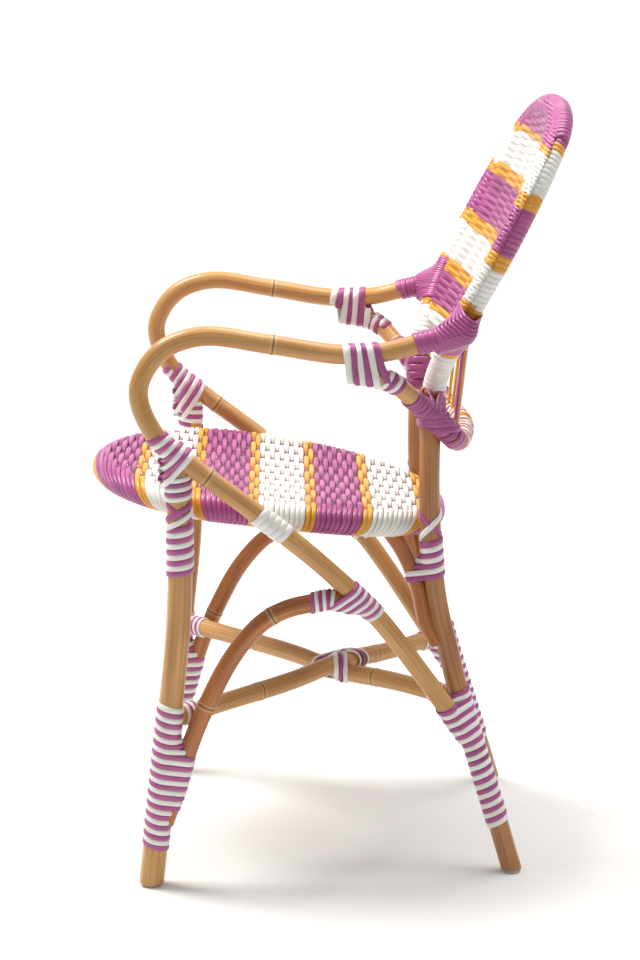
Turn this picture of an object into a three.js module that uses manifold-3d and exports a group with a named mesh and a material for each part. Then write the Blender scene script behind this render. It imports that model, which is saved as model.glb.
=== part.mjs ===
// A rattan bistro armchair: bent poles, a strand-woven seat and back, and bound joints.
// Millimetres, +Z up, the sitter faces -Y. X = 0 is the plane between the two sides.
import * as THREE from "three";
import { mergeVertices } from "three/addons/utils/BufferGeometryUtils.js";
import Module from "manifold-3d";

const wasm = await Module();
wasm.setup();

// Driving dimensions: the seat. Depths are measured from the seat's widest line.
const seatWidth = 390;
const seatFrontReach = 165;
const seatRearReach = 257;
const seatHeight = 460; // top of the seat on its widest line
const seatFrontRise = 15;
const seatRearDrop = 43;
const seatSag = 5;
const ringRadius = 12; // the bent pole inside the seat's edge
const skinWall = 4.5; // strands laid round that pole
const sheetWall = 4; // the woven sheet between
const rowPitch = 12; // one ridge of the weave stands for two strands
const ridgeHeight = 1.6;
const seatRailRadius = 9;
const frontRailReach = 70;
const rearRailReach = 150;

// Driving dimensions: front legs and arm poles
const frontLegRadius = 14;
const frontLegReach = 54; // ahead of the widest line, where the leg passes the seat
const frontKneeDrop = 123; // below the seat's top
const frontFootReach = 38; // how far the foot stands ahead of the knee
const frontFootDrawIn = 6;
const armRadius = 11;
const armFrontReach = 97;
const armLength = 344;
const armRise = 187; // centre of the arm rest's highest part, above the seat
const armEndRise = 190; // above the seat, where the arm rest meets the hoop
const armEndOverrun = 8; // length that stands behind the hoop
const braceEndHeight = 162; // where its lower end meets the rear leg
const braceEndTurn = 37; // degrees from straight ahead, round the rear leg

// Driving dimensions: rear legs and back hoop, one bent pole from foot to foot
const backRadius = 12;
const rearLegTurn = 56; // degrees round the seat's edge, where the leg touches it
const rearBendDrop = 19; // below the seat's top
const rearFootReach = 100;
const rearFootSplay = 32;
const crownRise = 417; // above the seat
const crownReach = 149;
const hoopDrawIn = 13; // how much narrower than the seat the hoop is

// Driving dimensions: back rail with its struts, arches, knees, stretchers
const railRadius = 10.5;
const railDrop = 41; // behind, below its joints with the rear legs
const railReach = 46; // behind the rear legs
const jointDrop = 101; // its joints with the rear legs, below the arm rest
const strutReach = 87; // where the strut starts, ahead of the rear legs
const strutStart = 48; // length of strut that lies under the arm rest
const archRadius = 10.5;
const archFootHeight = 75;
const archTopDrop = 119; // below the seat
const archEndShort = 6; // its upper end stops ahead of the brace's middle
const kneeRadius = 9.5;
const kneeFootDrop = 190; // its foot on the rear leg, below the seat
const kneeReach = 46;
const stretcherRadius = 11.7;
const stretcherHeight = 203;

// Driving dimensions: woven back, its stakes, and the bindings
const backWall = 6;
const backBow = 32;
const panelFootRise = 157; // above the seat
const stakeWidth = 4;
const stakeWall = 2.6;
const stakeCount = 9;
const stakeSpread = 184;
const bindWall = 1.4; // plain layer of a binding
const strandWidth = 6;
const strandWall = 1.4;
const glideRadius = 9;
const glideHeight = 3;
const jointBindAbove = 33; // front joint's binding, above and below where leg and arm pole meet
const jointBindBelow = 15;
const upperBindDrop = 14; // below the seat's top
const upperBindLength = 82;
const shinBindLength = 46; // above the place where the arch leaves the leg
const lowerBindFoot = 48;
const rearBindLength = 46;
const rearBindRise = 47;
const strutBindLength = 35;
const archBindAbove = 17;
const archBindBelow = 23;
const tieReach = 34; // behind the widest line
const tieLength = 33;
const centreTieLength = 21;
const bindLoops = {
  front_joint: 5,
  front_upper: 6,
  front_shin: 5,
  front_foot: 8,
  rear_upper: 4,
  rear_lower: 13,
  arm_strut: 3,
  arch_top: 4,
};
const tieLoops = 5;
const centreTieLoops = 3;
const backBindBefore = 32; // ahead of the rear leg and behind it
const backBindBehind = 22;
const endBindLength = 52;
const gap = 0.3; // clearance of parts that touch
const leanGap = 2; // extra room where two poles pass each other at a slant
const overrun = 30; // how far a cutter runs past what it cuts

const armTop = seatHeight + armRise;
const armEndHeight = seatHeight + armEndRise;
const frontKneeHeight = seatHeight - frontKneeDrop;
const rearBendHeight = seatHeight - rearBendDrop;
const crownHeight = seatHeight + crownRise;
const jointHeight = armTop - jointDrop;
const railHeight = jointHeight - railDrop;
const panelFootHeight = seatHeight + panelFootRise;
const kneeFootHeight = seatHeight - kneeFootDrop;
const hoopWidth = seatWidth - hoopDrawIn;
const archRise = seatHeight - archTopDrop - archFootHeight;
const bindLayers = gap + bindWall + 2 * gap + strandWall;
const lashing = bindLayers + 2 * gap; // room for a binding between a pole and the seat

const rattan = { color: 0xd9a561, roughness: 0.42 };
const brownRattan = { color: 0xb9783f, roughness: 0.45 };
const purple = { color: 0xa8428c, roughness: 0.4 };
const white = { color: 0xf1f0ea, roughness: 0.45 };
const nylon = { color: 0xd8d8d2, roughness: 0.5 };

const chair = new THREE.Group();

function add(name, geometry, finish) {
  const material = new THREE.MeshStandardMaterial({ ...finish, metalness: 0 });
  const mesh = new THREE.Mesh(geometry, material);
  mesh.name = name;
  chair.add(mesh);
  return mesh;
}

// Solids

function solidOf(geometry) {
  const bare = geometry.clone();
  bare.deleteAttribute("normal");
  bare.deleteAttribute("uv");
  const merged = mergeVertices(bare, gap / 100);
  return new wasm.Manifold(
    new wasm.Mesh({
      numProp: 3,
      vertProperties: new Float32Array(merged.attributes.position.array),
      triVerts: new Uint32Array(merged.index.array),
    }),
  );
}

function geometryOf(solid) {
  const mesh = solid.getMesh();
  const geometry = new THREE.BufferGeometry();
  geometry.setAttribute("position", new THREE.BufferAttribute(mesh.vertProperties.slice(), 3));
  geometry.setIndex(new THREE.BufferAttribute(mesh.triVerts.slice(), 1));
  geometry.computeVertexNormals();
  return geometry;
}

function cut(geometry, cutters) {
  let solid = solidOf(geometry);
  for (const cutter of cutters) {
    solid = solid.subtract(solidOf(cutter));
  }
  // A cut pole keeps its largest piece; the off-cuts beyond the joint fall away.
  const pieces = solid.decompose();
  pieces.sort((a, b) => b.volume() - a.volume());
  return geometryOf(pieces[0]);
}

function box(x, y, z, width, depth, height) {
  const geometry = new THREE.BoxGeometry(width, depth, height);
  geometry.translate(x, y, z);
  return geometry;
}

// Joins equal rings of points into a closed skin. Rings that close on themselves make a sleeve.
function loft(rings, closed = false) {
  const count = rings[0].length;
  const points = rings.flat();
  const faces = [];
  const last = closed ? rings.length : rings.length - 1;
  for (let r = 0; r < last; r++) {
    for (let i = 0; i < count; i++) {
      const a = r * count + i;
      const b = r * count + ((i + 1) % count);
      const c = ((r + 1) % rings.length) * count + i;
      const d = ((r + 1) % rings.length) * count + ((i + 1) % count);
      faces.push(a, b, d, a, d, c);
    }
  }
  if (!closed) {
    const cap = (start, flip) => {
      for (let i = 0; i < count / 2 - 1; i++) {
        const near = [start + i, start + i + 1];
        const far = [start + count - 1 - i, start + count - 2 - i];
        const quad = [near[0], far[0], near[1], near[1], far[0], far[1]];
        for (let k = 0; k < quad.length; k += 3) {
          const [p, q, s] = quad.slice(k, k + 3);
          if (p !== q && q !== s && p !== s) {
            faces.push(...(flip ? [s, q, p] : [p, q, s]));
          }
        }
      }
    };
    cap(0, false);
    cap((rings.length - 1) * count, true);
  }
  const geometry = new THREE.BufferGeometry().setFromPoints(points);
  geometry.setIndex(signedVolume(points, faces) < 0 ? faces.reverse() : faces);
  geometry.computeVertexNormals();
  return geometry;
}

function signedVolume(points, faces) {
  let sum = 0;
  for (let f = 0; f < faces.length; f += 3) {
    const [a, b, c] = faces.slice(f, f + 3).map((i) => points[i]);
    sum += a.dot(b.clone().cross(c));
  }
  return sum;
}

// Poles

const turn = (degrees) => THREE.MathUtils.degToRad(degrees);
const vec = (x, y, z) => new THREE.Vector3(x, y, z);
const route = (points) => new THREE.CatmullRomCurve3(points, false, "centripetal");
const mirrored = (points) => points.map((p) => vec(-p.x, p.y, p.z));

// A pole is a path with a radius, a number of sides and of steps along its length
function pole({ path, radius, sides, steps }) {
  const shape = new THREE.Shape();
  for (let i = 0; i < sides; i++) {
    const a = (i / sides) * 2 * Math.PI;
    const move = i === 0 ? "moveTo" : "lineTo";
    shape[move](radius * Math.cos(a), radius * Math.sin(a));
  }
  return new THREE.ExtrudeGeometry(shape, { steps, bevelEnabled: false, extrudePath: path });
}

const cutterSides = 12;

// The room that a pole takes up with its clearance: flats that lie outside the round pole
function roomFor(piece, extra = 0) {
  const radius = (piece.radius + extra + gap) / Math.cos(Math.PI / cutterSides);
  return pole({ ...piece, radius, sides: cutterSides });
}

// The point of a route where one coordinate reaches a value, looking from its start share on.
function pointWhere(path, axis, value, from = 0, to = 1) {
  return path.getPointAt(shareWhere(path, axis, value, from, to));
}

const looks = 400; // places looked at along a route when a point is sought

function shareWhere(path, axis, value, from = 0, to = 1) {
  let best = from;
  let least = Infinity;
  for (let i = 0; i <= looks; i++) {
    const share = from + ((to - from) * i) / looks;
    const miss = Math.abs(path.getPointAt(share)[axis] - value);
    if (miss < least) {
      least = miss;
      best = share;
    }
  }
  return best;
}

// Seat plan: an egg of two half superellipses that meet on the widest line

const frontFullness = 1.9;
const rearFullness = 2.3;
const planStations = 36;

function planPoint(angle) {
  const rear = Math.sin(angle) >= 0;
  const power = 2 / (rear ? rearFullness : frontFullness);
  const reach = rear ? seatRearReach : -seatFrontReach;
  const c = Math.cos(angle);
  const across = (seatWidth / 2) * Math.sign(c) * Math.abs(c) ** power;
  return vec(across, reach * Math.abs(Math.sin(angle)) ** power, 0);
}

function planNormal(angle) {
  const step = Math.PI / planStations / 8;
  const along = planPoint(angle + step).sub(planPoint(angle - step));
  return vec(along.y, -along.x, 0).normalize();
}

// Height of the seat's top: a gentle parabola that rises to the front and drops to the rear
const seatCurl =
  (seatRearDrop / seatRearReach - seatFrontRise / seatFrontReach) / (seatRearReach + seatFrontReach);
const seatSlope = seatFrontRise / seatFrontReach + seatCurl * seatFrontReach;
const seatTop = (y) => seatHeight - seatSlope * y - seatCurl * y * y;

const rimRadius = ringRadius + skinWall;

const planInset = (angle, inset) => planPoint(angle).addScaledVector(planNormal(angle), -inset);

// A point of the rim's round section, measured from its outer side and from its top
function rimPoint(angle, inset, depth) {
  const p = planInset(angle, inset);
  p.z = seatTop(planInset(angle, rimRadius).y) - depth;
  return p;
}

function sheetPoint(angle, inset, depth) {
  const p = planInset(angle, inset);
  p.z = seatTop(p.y) - depth;
  return p;
}

function planHalfWidth(y) {
  const rear = y >= 0;
  const share = Math.abs(y) / (rear ? seatRearReach : seatFrontReach);
  const power = rear ? rearFullness : frontFullness;
  return (seatWidth / 2) * (1 - share ** power) ** (1 / power);
}

class SeatRing extends THREE.Curve {
  // Starts and ends at the middle of the rear edge, where the bent pole's ends butt
  getPoint(share, target = new THREE.Vector3()) {
    const angle = Math.PI / 2 + turn(0.15) + share * (2 * Math.PI - turn(0.3));
    return target.copy(rimPoint(angle, rimRadius, rimRadius));
  }
  getPointAt(share, target) {
    return this.getPoint(share, target);
  }
  getTangentAt(share, target = new THREE.Vector3()) {
    const step = 0.002;
    const ahead = this.getPoint(Math.min(share + step, 1));
    return target.copy(ahead.sub(this.getPoint(Math.max(share - step, 0)))).normalize();
  }
}

const ring = { path: new SeatRing(), radius: ringRadius, sides: 8, steps: planStations };

// How far the sheet sags at a distance from the rim's middle line
const sagReach = seatFrontReach - rimRadius;
const sagAt = (inside) => seatSag * (1 - (1 - Math.min(inside / sagReach, 1)) ** 2);

const rimLooks = 720; // stations of the rim's middle line
const rimLine = Array.from({ length: rimLooks }, (_, i) => {
  const angle = (i / rimLooks) * 2 * Math.PI;
  return { middle: planInset(angle, rimRadius), out: planNormal(angle) };
});

// A point of the seat's skin for a place on a flat sheet. Beyond the rim's middle line the sheet
// rolls round the rim, so that its distance from that line becomes an angle.
function skinPoint(x, y, lift) {
  const place = vec(x, y, 0);
  const away = ({ middle }) => middle.distanceToSquared(place);
  const near = rimLine.reduce((best, station) => (away(station) < away(best) ? station : best));
  const beyond = place.clone().sub(near.middle).dot(near.out);
  if (beyond <= 0) {
    return vec(x, y, seatTop(y) - sagAt(-beyond) + lift);
  }
  const angle = beyond / rimRadius;
  const radius = rimRadius + lift;
  place.addScaledVector(near.out, radius * Math.sin(angle) - beyond);
  const base = near.middle.y;
  return place.setZ(seatTop(base) - rimRadius + radius * Math.cos(angle));
}

// Places along one half of a row of the weave, from the middle out. All but the first lie
// round the rim; a row that lies wholly on the rim keeps one of them near the middle.
const rimSteps = 4;
const leastInside = 0.2; // share of the half width

function rowPlaces(inside, half) {
  const start = Math.max(inside, half * leastInside);
  const places = [0];
  for (let k = 0; k <= rimSteps; k++) {
    places.push(start + (half - start) * (k / rimSteps));
  }
  return places;
}

// The woven skin's outer side: rows of strands side by side, every second line a ridge
function wovenRows() {
  const roll = rimRadius * Math.PI;
  const middles = rimLine.map(({ middle }) => middle);
  const border = rimLine.map(({ middle, out }) => middle.clone().addScaledVector(out, roll));
  const front = Math.min(...border.map((p) => p.y));
  const rear = Math.max(...border.map((p) => p.y));
  const lines = Math.round((rear - front) / (rowPitch / 2));
  const rows = [];
  for (let i = 1; i < lines; i++) {
    const y = front + (i / lines) * (rear - front);
    const half = rowPlaces(halfWidthOf(middles, y), halfWidthOf(border, y));
    const whole = [...half.slice(1).reverse().map((x) => -x), ...half];
    const lift = i % 2 ? 0 : -ridgeHeight;
    rows.push(whole.map((x) => skinPoint(x, y, lift)));
  }
  return rows;
}

// Its inner side: slices from the middle of the sheet out to the rim and round under the ring
function wovenSlices() {
  const arc = 6;
  const inner = (ringRadius + 2 * gap) / Math.cos(Math.PI / arc / 2);
  const inset = rimRadius + sagReach / 2;
  const slices = [];
  for (let i = 0; i < planStations; i++) {
    const angle = (i / planStations) * 2 * Math.PI;
    const slice = [sheetPoint(angle, inset, sagAt(sagReach / 2) + sheetWall)];
    for (let k = 0; k <= arc; k++) {
      const a = Math.PI / 2 + (k / arc) * Math.PI;
      const across = rimRadius + inner * Math.cos(a);
      slice.push(rimPoint(angle, across, rimRadius - inner * Math.sin(a)));
    }
    slices.push(slice);
  }
  return slices;
}

function seatWeave() {
  const rows = wovenRows();
  const slices = wovenSlices();
  const [across, along] = [rows[0].length, rows.length];
  const deep = slices[0].length;
  const points = [...rows.flat(), ...slices.flat(), vec(0, 0, seatTop(0) - seatSag - sheetWall)];
  const faces = [];
  for (let r = 0; r + 1 < along; r++) {
    for (let i = 0; i + 1 < across; i++) {
      const a = r * across + i;
      faces.push(a, a + 1, a + across + 1, a, a + across + 1, a + across);
    }
  }
  const start = along * across;
  for (let r = 0; r < planStations; r++) {
    const next = ((r + 1) % planStations) * deep + start;
    const here = r * deep + start;
    faces.push(points.length - 1, next, here);
    for (let i = 0; i + 1 < deep; i++) {
      faces.push(here + i, next + i, next + i + 1, here + i, next + i + 1, here + i + 1);
    }
  }
  const inner = slices.map((_, r) => start + r * deep + deep - 1);
  faces.push(...zipped(points, edgeOf(across, along), inner));
  return closedSkin(points, faces);
}

// The corners on the outer edge of a sheet of rows, once round
function edgeOf(across, along) {
  const end = across - 1;
  const last = (along - 1) * across;
  const run = (count, at) => Array.from({ length: count }, (_, i) => at(i));
  return [
    ...run(end, (i) => i),
    ...run(along - 1, (r) => r * across + end),
    ...run(end, (i) => last + end - i),
    ...run(along - 1, (r) => last - r * across),
  ];
}

// Triangles between two loops that both circle the middle, each point joined to its neighbours
function zipped(points, outer, inner) {
  const bearing = (i) => Math.atan2(points[i].y, points[i].x);
  const fromLowest = (loop) => {
    const first = loop.reduce((best, p, k) => (bearing(p) < bearing(loop[best]) ? k : best), 0);
    return [...loop.slice(first), ...loop.slice(0, first)];
  };
  const [a, b] = [fromLowest(outer), fromLowest(inner)];
  const ahead = (loop, k) => (k + 1 < loop.length ? bearing(loop[k + 1]) : Infinity);
  const faces = [];
  let [i, j] = [0, 0];
  while (i < a.length || j < b.length) {
    const [p, q] = [a[i % a.length], b[j % b.length]];
    if (j === b.length || (i < a.length && ahead(a, i) <= ahead(b, j))) {
      faces.push(p, q, a[++i % a.length]);
    } else {
      faces.push(p, q, b[++j % b.length]);
    }
  }
  return faces;
}

// Half the width of a closed outline at a depth, or none beyond its ends
function halfWidthOf(outline, y) {
  const crossing = outline.findIndex((p, i) => {
    const next = outline[(i + 1) % outline.length];
    return p.x > 0 && next.x > 0 && (p.y - y) * (next.y - y) <= 0;
  });
  return crossing < 0 ? 0 : outline[crossing].x;
}

// A closed skin of triangles, faces outwards
function closedSkin(points, faces) {
  const geometry = new THREE.BufferGeometry().setFromPoints(points);
  geometry.setIndex(signedVolume(points, faces) < 0 ? faces.reverse() : faces);
  return geometryOf(solidOf(geometry));
}

// Rear legs and back hoop

const legPlace = planPoint(turn(rearLegTurn)).addScaledVector(
  planNormal(turn(rearLegTurn)),
  backRadius + lashing,
);

// Rows: share of the foot's reach, share of its splay, share of the bend's height
const rearLegShares = [
  [1, 1, 0],
  [0.85, 0.766, 0.115],
  [0.36, 0.156, 0.481],
  [0.205, 0.047, 0.624],
  [0.125, 0.016, 0.698],
  [0.058, 0, 0.798],
  [0, 0, 1],
];
// Rows: share of the crown's reach, share of the hoop's half width, share of its rise
const hoopShares = [
  [0, 0.662, 0.163],
  [0.003, 0.66, 0.25],
  [0.045, 0.7215, 0.339],
  [0.125, 0.833, 0.419],
  [0.228, 0.923, 0.499],
  [0.349, 0.981, 0.579],
  [0.483, 1, 0.665],
  [0.609, 0.99, 0.747],
  [0.769, 0.9125, 0.851],
  [0.883, 0.767, 0.924],
  [0.96, 0.546, 0.974],
  [0.993, 0.239, 0.998],
];

function backPoints() {
  const leg = rearLegShares.map(([reach, splay, rise]) =>
    vec(
      legPlace.x + splay * rearFootSplay,
      legPlace.y + reach * rearFootReach,
      rise * rearBendHeight,
    ),
  );
  const hoop = hoopShares.map(([reach, width, rise]) =>
    vec(
      (width * hoopWidth) / 2,
      legPlace.y + reach * crownReach,
      rearBendHeight + rise * (crownHeight - rearBendHeight),
    ),
  );
  const half = [...leg, ...hoop];
  const crown = vec(0, legPlace.y + crownReach, crownHeight);
  return [...half, crown, ...mirrored(half).reverse()];
}

// side 1 is the sitter's left, +X; the route starts at that foot
const back = { path: route(backPoints()), radius: backRadius, sides: 8, steps: 72 };
const onBack = (height) => pointWhere(back.path, "z", height, 0, 0.5);

// Woven back: a sheet that spans the hoop and bows to the rear, with stakes down to the rail

const panelColumns = 6;
const panelLean = Math.atan2(crownReach * 0.517, (crownHeight - rearBendHeight) * 0.335);
const panelOut = vec(0, Math.cos(panelLean), -Math.sin(panelLean));
const panelStart = shareWhere(back.path, "z", panelFootHeight, 0, 0.5);
const panelEnd = 0.49; // just short of the crown's middle

// The line where the sheet ends beside the hoop, clear of the hoop's straight steps
const hoopInside = {
  getPointAt(share) {
    const inward = back.path.getTangentAt(share).cross(panelOut).normalize();
    return back.path.getPointAt(share).addScaledVector(inward, backRadius + leanGap);
  },
};

// across runs from -1 to 1 between the hoop's sides, up from 0 at the foot to 1 at the crown
function panelPoint(across, up, out) {
  const p = hoopInside.getPointAt(panelStart + (panelEnd - panelStart) * up);
  const bow = backBow * (1 - up ** 3) * (1 - across ** 2);
  p.x *= across;
  return p.addScaledVector(panelOut, bow + out);
}

// Lines of the sheet from its foot up, at even heights, every second one a ridge on both faces
function panelSheet() {
  const foot = hoopInside.getPointAt(panelStart).z;
  const top = hoopInside.getPointAt(panelEnd).z;
  const lines = Math.round((top - foot) / (rowPitch / 2) / Math.cos(panelLean));
  const rings = [];
  for (let r = 0; r <= lines; r++) {
    const share = shareWhere(hoopInside, "z", foot + (r / lines) * (top - foot), panelStart, panelEnd);
    const up = (share - panelStart) / (panelEnd - panelStart);
    const half = backWall / 2 - (r % 2 ? 0 : ridgeHeight);
    const front = [];
    const rear = [];
    for (let c = 0; c <= panelColumns; c++) {
      const across = (2 * c) / panelColumns - 1;
      front.push(panelPoint(across, up, -half));
      rear.push(panelPoint(across, up, half));
    }
    rings.push([...front, ...rear.reverse()]);
  }
  return loft(rings);
}

function stake(x, railPath) {
  const foot = panelPoint(x / back.path.getPointAt(panelStart).x, 0, 0);
  const low = pointWhere(railPath, "x", x, 0.2, 0.8);
  const high = foot.clone().add(foot.clone().sub(low).setLength(backWall));
  return loft(
    [high, foot, low].map((p) => [
      vec(p.x - stakeWidth / 2, p.y - stakeWall / 2, p.z),
      vec(p.x + stakeWidth / 2, p.y - stakeWall / 2, p.z),
      vec(p.x + stakeWidth / 2, p.y + stakeWall / 2, p.z),
      vec(p.x - stakeWidth / 2, p.y + stakeWall / 2, p.z),
    ]),
  );
}

function backWeave(railPath, cutters) {
  let solid = solidOf(panelSheet());
  for (let i = 0; i < stakeCount; i++) {
    const x = stakeSpread * (i / (stakeCount - 1) - 0.5);
    solid = solid.add(solidOf(stake(x, railPath)));
  }
  return cut(geometryOf(solid), cutters);
}

// Arm poles: arm rest, front bend and diagonal brace in one

// Rows: share of the arm's length behind its front bend, share of the rise, share of the half
// spread. The rise runs from 0 at the lower end to 1 at the seat's height and 2 at the arm rest.
const armShares = [
  [0.903, 1.945, 0.935],
  [0.793, 1.897, 0.955],
  [0.641, 1.887, 0.966],
  [0.421, 1.95, 0.978],
  [0.197, 2, 0.988],
  [0.069, 1.906, 0.997],
  [0, 1.679, 1],
  [0.051, 1.411, 1],
  [0.178, 1.207, 1],
  [0.283, 1.061, 1],
  [0.388, 0.945, 0.997],
  [0.571, 0.766, 0.958],
  [0.767, 0.53, 0.86],
];
const armHalfSpread = seatWidth / 2 + armRadius + lashing;

// The height on an arm pole at a share of its rise
function armHeight(rise) {
  const toSeat = Math.min(rise, 1) * (seatHeight - braceEndHeight);
  return braceEndHeight + toSeat + Math.max(rise - 1, 0) * armRise;
}

function armPoints() {
  const hoop = onBack(armEndHeight);
  const away = backRadius + armRadius + bindLayers + leanGap;
  const top = vec(hoop.x + away, hoop.y + armEndOverrun, armEndHeight);
  // The lower end is aimed inside the rear leg, whose binding cuts it to fit
  const leg = onBack(braceEndHeight);
  const inside = backRadius / 2;
  const low = vec(
    leg.x + inside * Math.sin(turn(braceEndTurn)),
    leg.y - inside * Math.cos(turn(braceEndTurn)),
    braceEndHeight,
  );
  const between = armShares.map(([reach, rise, spread]) =>
    vec(spread * armHalfSpread, reach * armLength - armFrontReach, armHeight(rise)),
  );
  return [top, ...between, low];
}

const arm = { path: route(armPoints()), radius: armRadius, sides: 8, steps: 44 };
const onArm = (axis, value, [from, to]) => pointWhere(arm.path, axis, value, from, to);
// Lengths of the arm pole's route, as shares of it, in which one coordinate is looked for
const armRear = [0, 0.3];
const armFront = [0.5, 0.75];
const armLow = [0.6, 1];

// Front legs

const frontLegX = planHalfWidth(-frontLegReach) + frontLegRadius + lashing;

function frontLegPoints() {
  const meets = onArm("y", -frontLegReach, armFront);
  const foot = vec(frontLegX - frontFootDrawIn, -frontLegReach - frontFootReach, 0);
  const knee = vec(frontLegX, -frontLegReach, frontKneeHeight);
  const under = foot.clone().lerp(knee, -overrun / frontKneeHeight);
  return [
    under,
    foot,
    foot.clone().lerp(knee, 0.45),
    foot.clone().lerp(knee, 0.9),
    vec(frontLegX, -frontLegReach, frontKneeHeight * 0.78 + meets.z * 0.22),
    vec(frontLegX, -frontLegReach, (frontKneeHeight + meets.z) / 2),
    vec(frontLegX, -frontLegReach, meets.z),
  ];
}

const strutPlace = onArm("y", legPlace.y - strutReach, armRear);

// Back rail: a pole that lies under each arm rest, passes outside the rear legs and bows behind

function railPoints() {
  const start = strutPlace;
  const under = armRadius + railRadius + 3 * gap;
  const leg = onBack(jointHeight);
  const outside = leg.x + backRadius + railRadius + bindLayers + leanGap;
  const drop = start.z - under - jointHeight;
  const sag = jointHeight - railHeight;
  const half = [
    vec(start.x, start.y, start.z - under),
    vec(start.x - gap, start.y + strutStart / 2, start.z - under - drop * 0.05),
    vec(start.x - railRadius * 0.7, start.y + strutStart * 0.9, start.z - under - drop * 0.22),
    vec(start.x * 0.45 + outside * 0.55, leg.y - railReach * 0.5, jointHeight + drop * 0.42),
    vec(outside, leg.y - gap, jointHeight),
    vec(outside - railRadius * 0.9, leg.y + railReach * 0.48, railHeight + sag * 0.42),
    vec(leg.x - backRadius * 1.7, leg.y + railReach * 0.74, railHeight + railRadius * 0.2),
    vec(leg.x * 0.4, leg.y + railReach * 0.94, railHeight),
  ];
  return [...half, vec(0, leg.y + railReach, railHeight), ...mirrored(half).reverse()];
}

// Arches: from the front leg's rear side up and over to the diagonal brace

// Rows: share of the run, share of the rise
const archShares = [
  [-0.02, -0.12],
  [0.033, 0],
  [0.096, 0.15],
  [0.154, 0.314],
  [0.221, 0.466],
  [0.294, 0.602],
  [0.366, 0.718],
  [0.443, 0.812],
  [0.55, 0.906],
  [0.667, 0.959],
  [0.799, 0.985],
  [0.9, 1],
  [0.998, 0.981],
];

function archPoints(legPath) {
  const foot = pointWhere(legPath, "z", archFootHeight);
  const brace = onArm("z", archFootHeight + archRise, armLow);
  const archRun = brace.y - archEndShort - foot.y;
  return archShares.map(([run, rise]) =>
    vec(
      foot.x + (brace.x - foot.x) * rise * run,
      foot.y + run * archRun,
      archFootHeight + rise * archRise,
    ),
  );
}

// Knees: short braces from the rear legs up to the seat's edge
// Rows: share of the reach ahead of the leg, share of the rise to the seat
const kneeShares = [
  [0.22, 0],
  [0.42, 0.2],
  [0.5, 0.55],
  [0.72, 0.85],
  [1, 1.05],
];

function kneePoints() {
  const leg = onBack(kneeFootHeight);
  const top = seatTop(legPlace.y - kneeReach) - 2 * rimRadius;
  return kneeShares.map(([reach, rise]) =>
    vec(
      leg.x - (leg.x - legPlace.x) * rise - (rise * kneeReach) / 4,
      leg.y - (leg.y - legPlace.y) * rise - reach * kneeReach,
      kneeFootHeight + rise * (top - kneeFootHeight),
    ),
  );
}

// Bindings: a plain layer round one pole, or round two that lie together, and a strand wound on it

const bindSides = 8;
const nearStep = 0.3; // a step nearer than this share of itself to a binding's end is left out
const bindAngle = (k) => (k / bindSides) * 2 * Math.PI;

// The middle of a pole as it is built, in straight lengths between its steps
function middle({ path, steps }, share) {
  const step = Math.min(Math.floor(share * steps), steps - 1);
  const start = path.getPointAt(step / steps);
  return start.lerp(path.getPointAt((step + 1) / steps), share * steps - step);
}

class Binding {
  constructor(main, from, to, others = []) {
    Object.assign(this, { main, others });
    this.low = Math.min(from, to);
    this.high = Math.max(from, to);
    this.shares = [this.low];
    for (let k = Math.ceil(this.low * main.steps + nearStep); k < this.high * main.steps - nearStep; k++) {
      this.shares.push(k / main.steps);
    }
    this.shares.push(this.high);
    this.frames = this.shares.map((share) => this.frame(share));
    for (const frame of this.frames) {
      frame.reaches = Array.from({ length: bindSides }, (_, k) => this.reach(frame, bindAngle(k)));
    }
  }
  frame(share) {
    const along = this.main.path.getTangentAt(share);
    const side = vec(1, 0, 0).addScaledVector(along, -along.x).normalize();
    const frame = { centre: middle(this.main, share), along, side, rise: along.clone().cross(side) };
    const { radius } = this.main;
    frame.ovals = [{ x: 0, y: 0, long: radius, short: radius, tilt: 0 }];
    for (const other of this.others) {
      frame.ovals.push(ovalOf(other, frame));
    }
    return frame;
  }
  // How far the poles reach from the middle in the direction of an angle
  reach({ ovals }, angle) {
    const reaches = ovals.map(({ x, y, long, short, tilt }) => {
      const size = Math.hypot(long * Math.cos(angle - tilt), short * Math.sin(angle - tilt));
      return x * Math.cos(angle) + y * Math.sin(angle) + size;
    });
    return Math.max(...reaches);
  }
  // The corner between two flats that lie round the poles, a given height above them
  corner({ centre, side, rise, reaches }, k, height) {
    const [a, b] = [bindAngle(k), bindAngle(k + 1)];
    const [p, q] = [reaches[k] + height, reaches[(k + 1) % bindSides] + height];
    const x = (p * Math.sin(b) - q * Math.sin(a)) / Math.sin(b - a);
    const y = (q * Math.cos(a) - p * Math.cos(b)) / Math.sin(b - a);
    return centre.clone().addScaledVector(side, x).addScaledVector(rise, y);
  }
  rings(height) {
    const around = Array.from({ length: bindSides }, (_, k) => k);
    return this.frames.map((frame) => around.map((k) => this.corner(frame, k, height)));
  }
  // The same corner at a share of the binding's own length
  between(share, k, height) {
    const at = this.low + share * (this.high - this.low);
    const next = Math.max(1, this.shares.findIndex((s) => s >= at));
    const [from, to] = [this.shares[next - 1], this.shares[next]];
    const start = this.corner(this.frames[next - 1], k % bindSides, height);
    return start.lerp(this.corner(this.frames[next], k % bindSides, height), (at - from) / (to - from));
  }
  length() {
    return (this.high - this.low) * this.main.path.getLength();
  }
}

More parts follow.
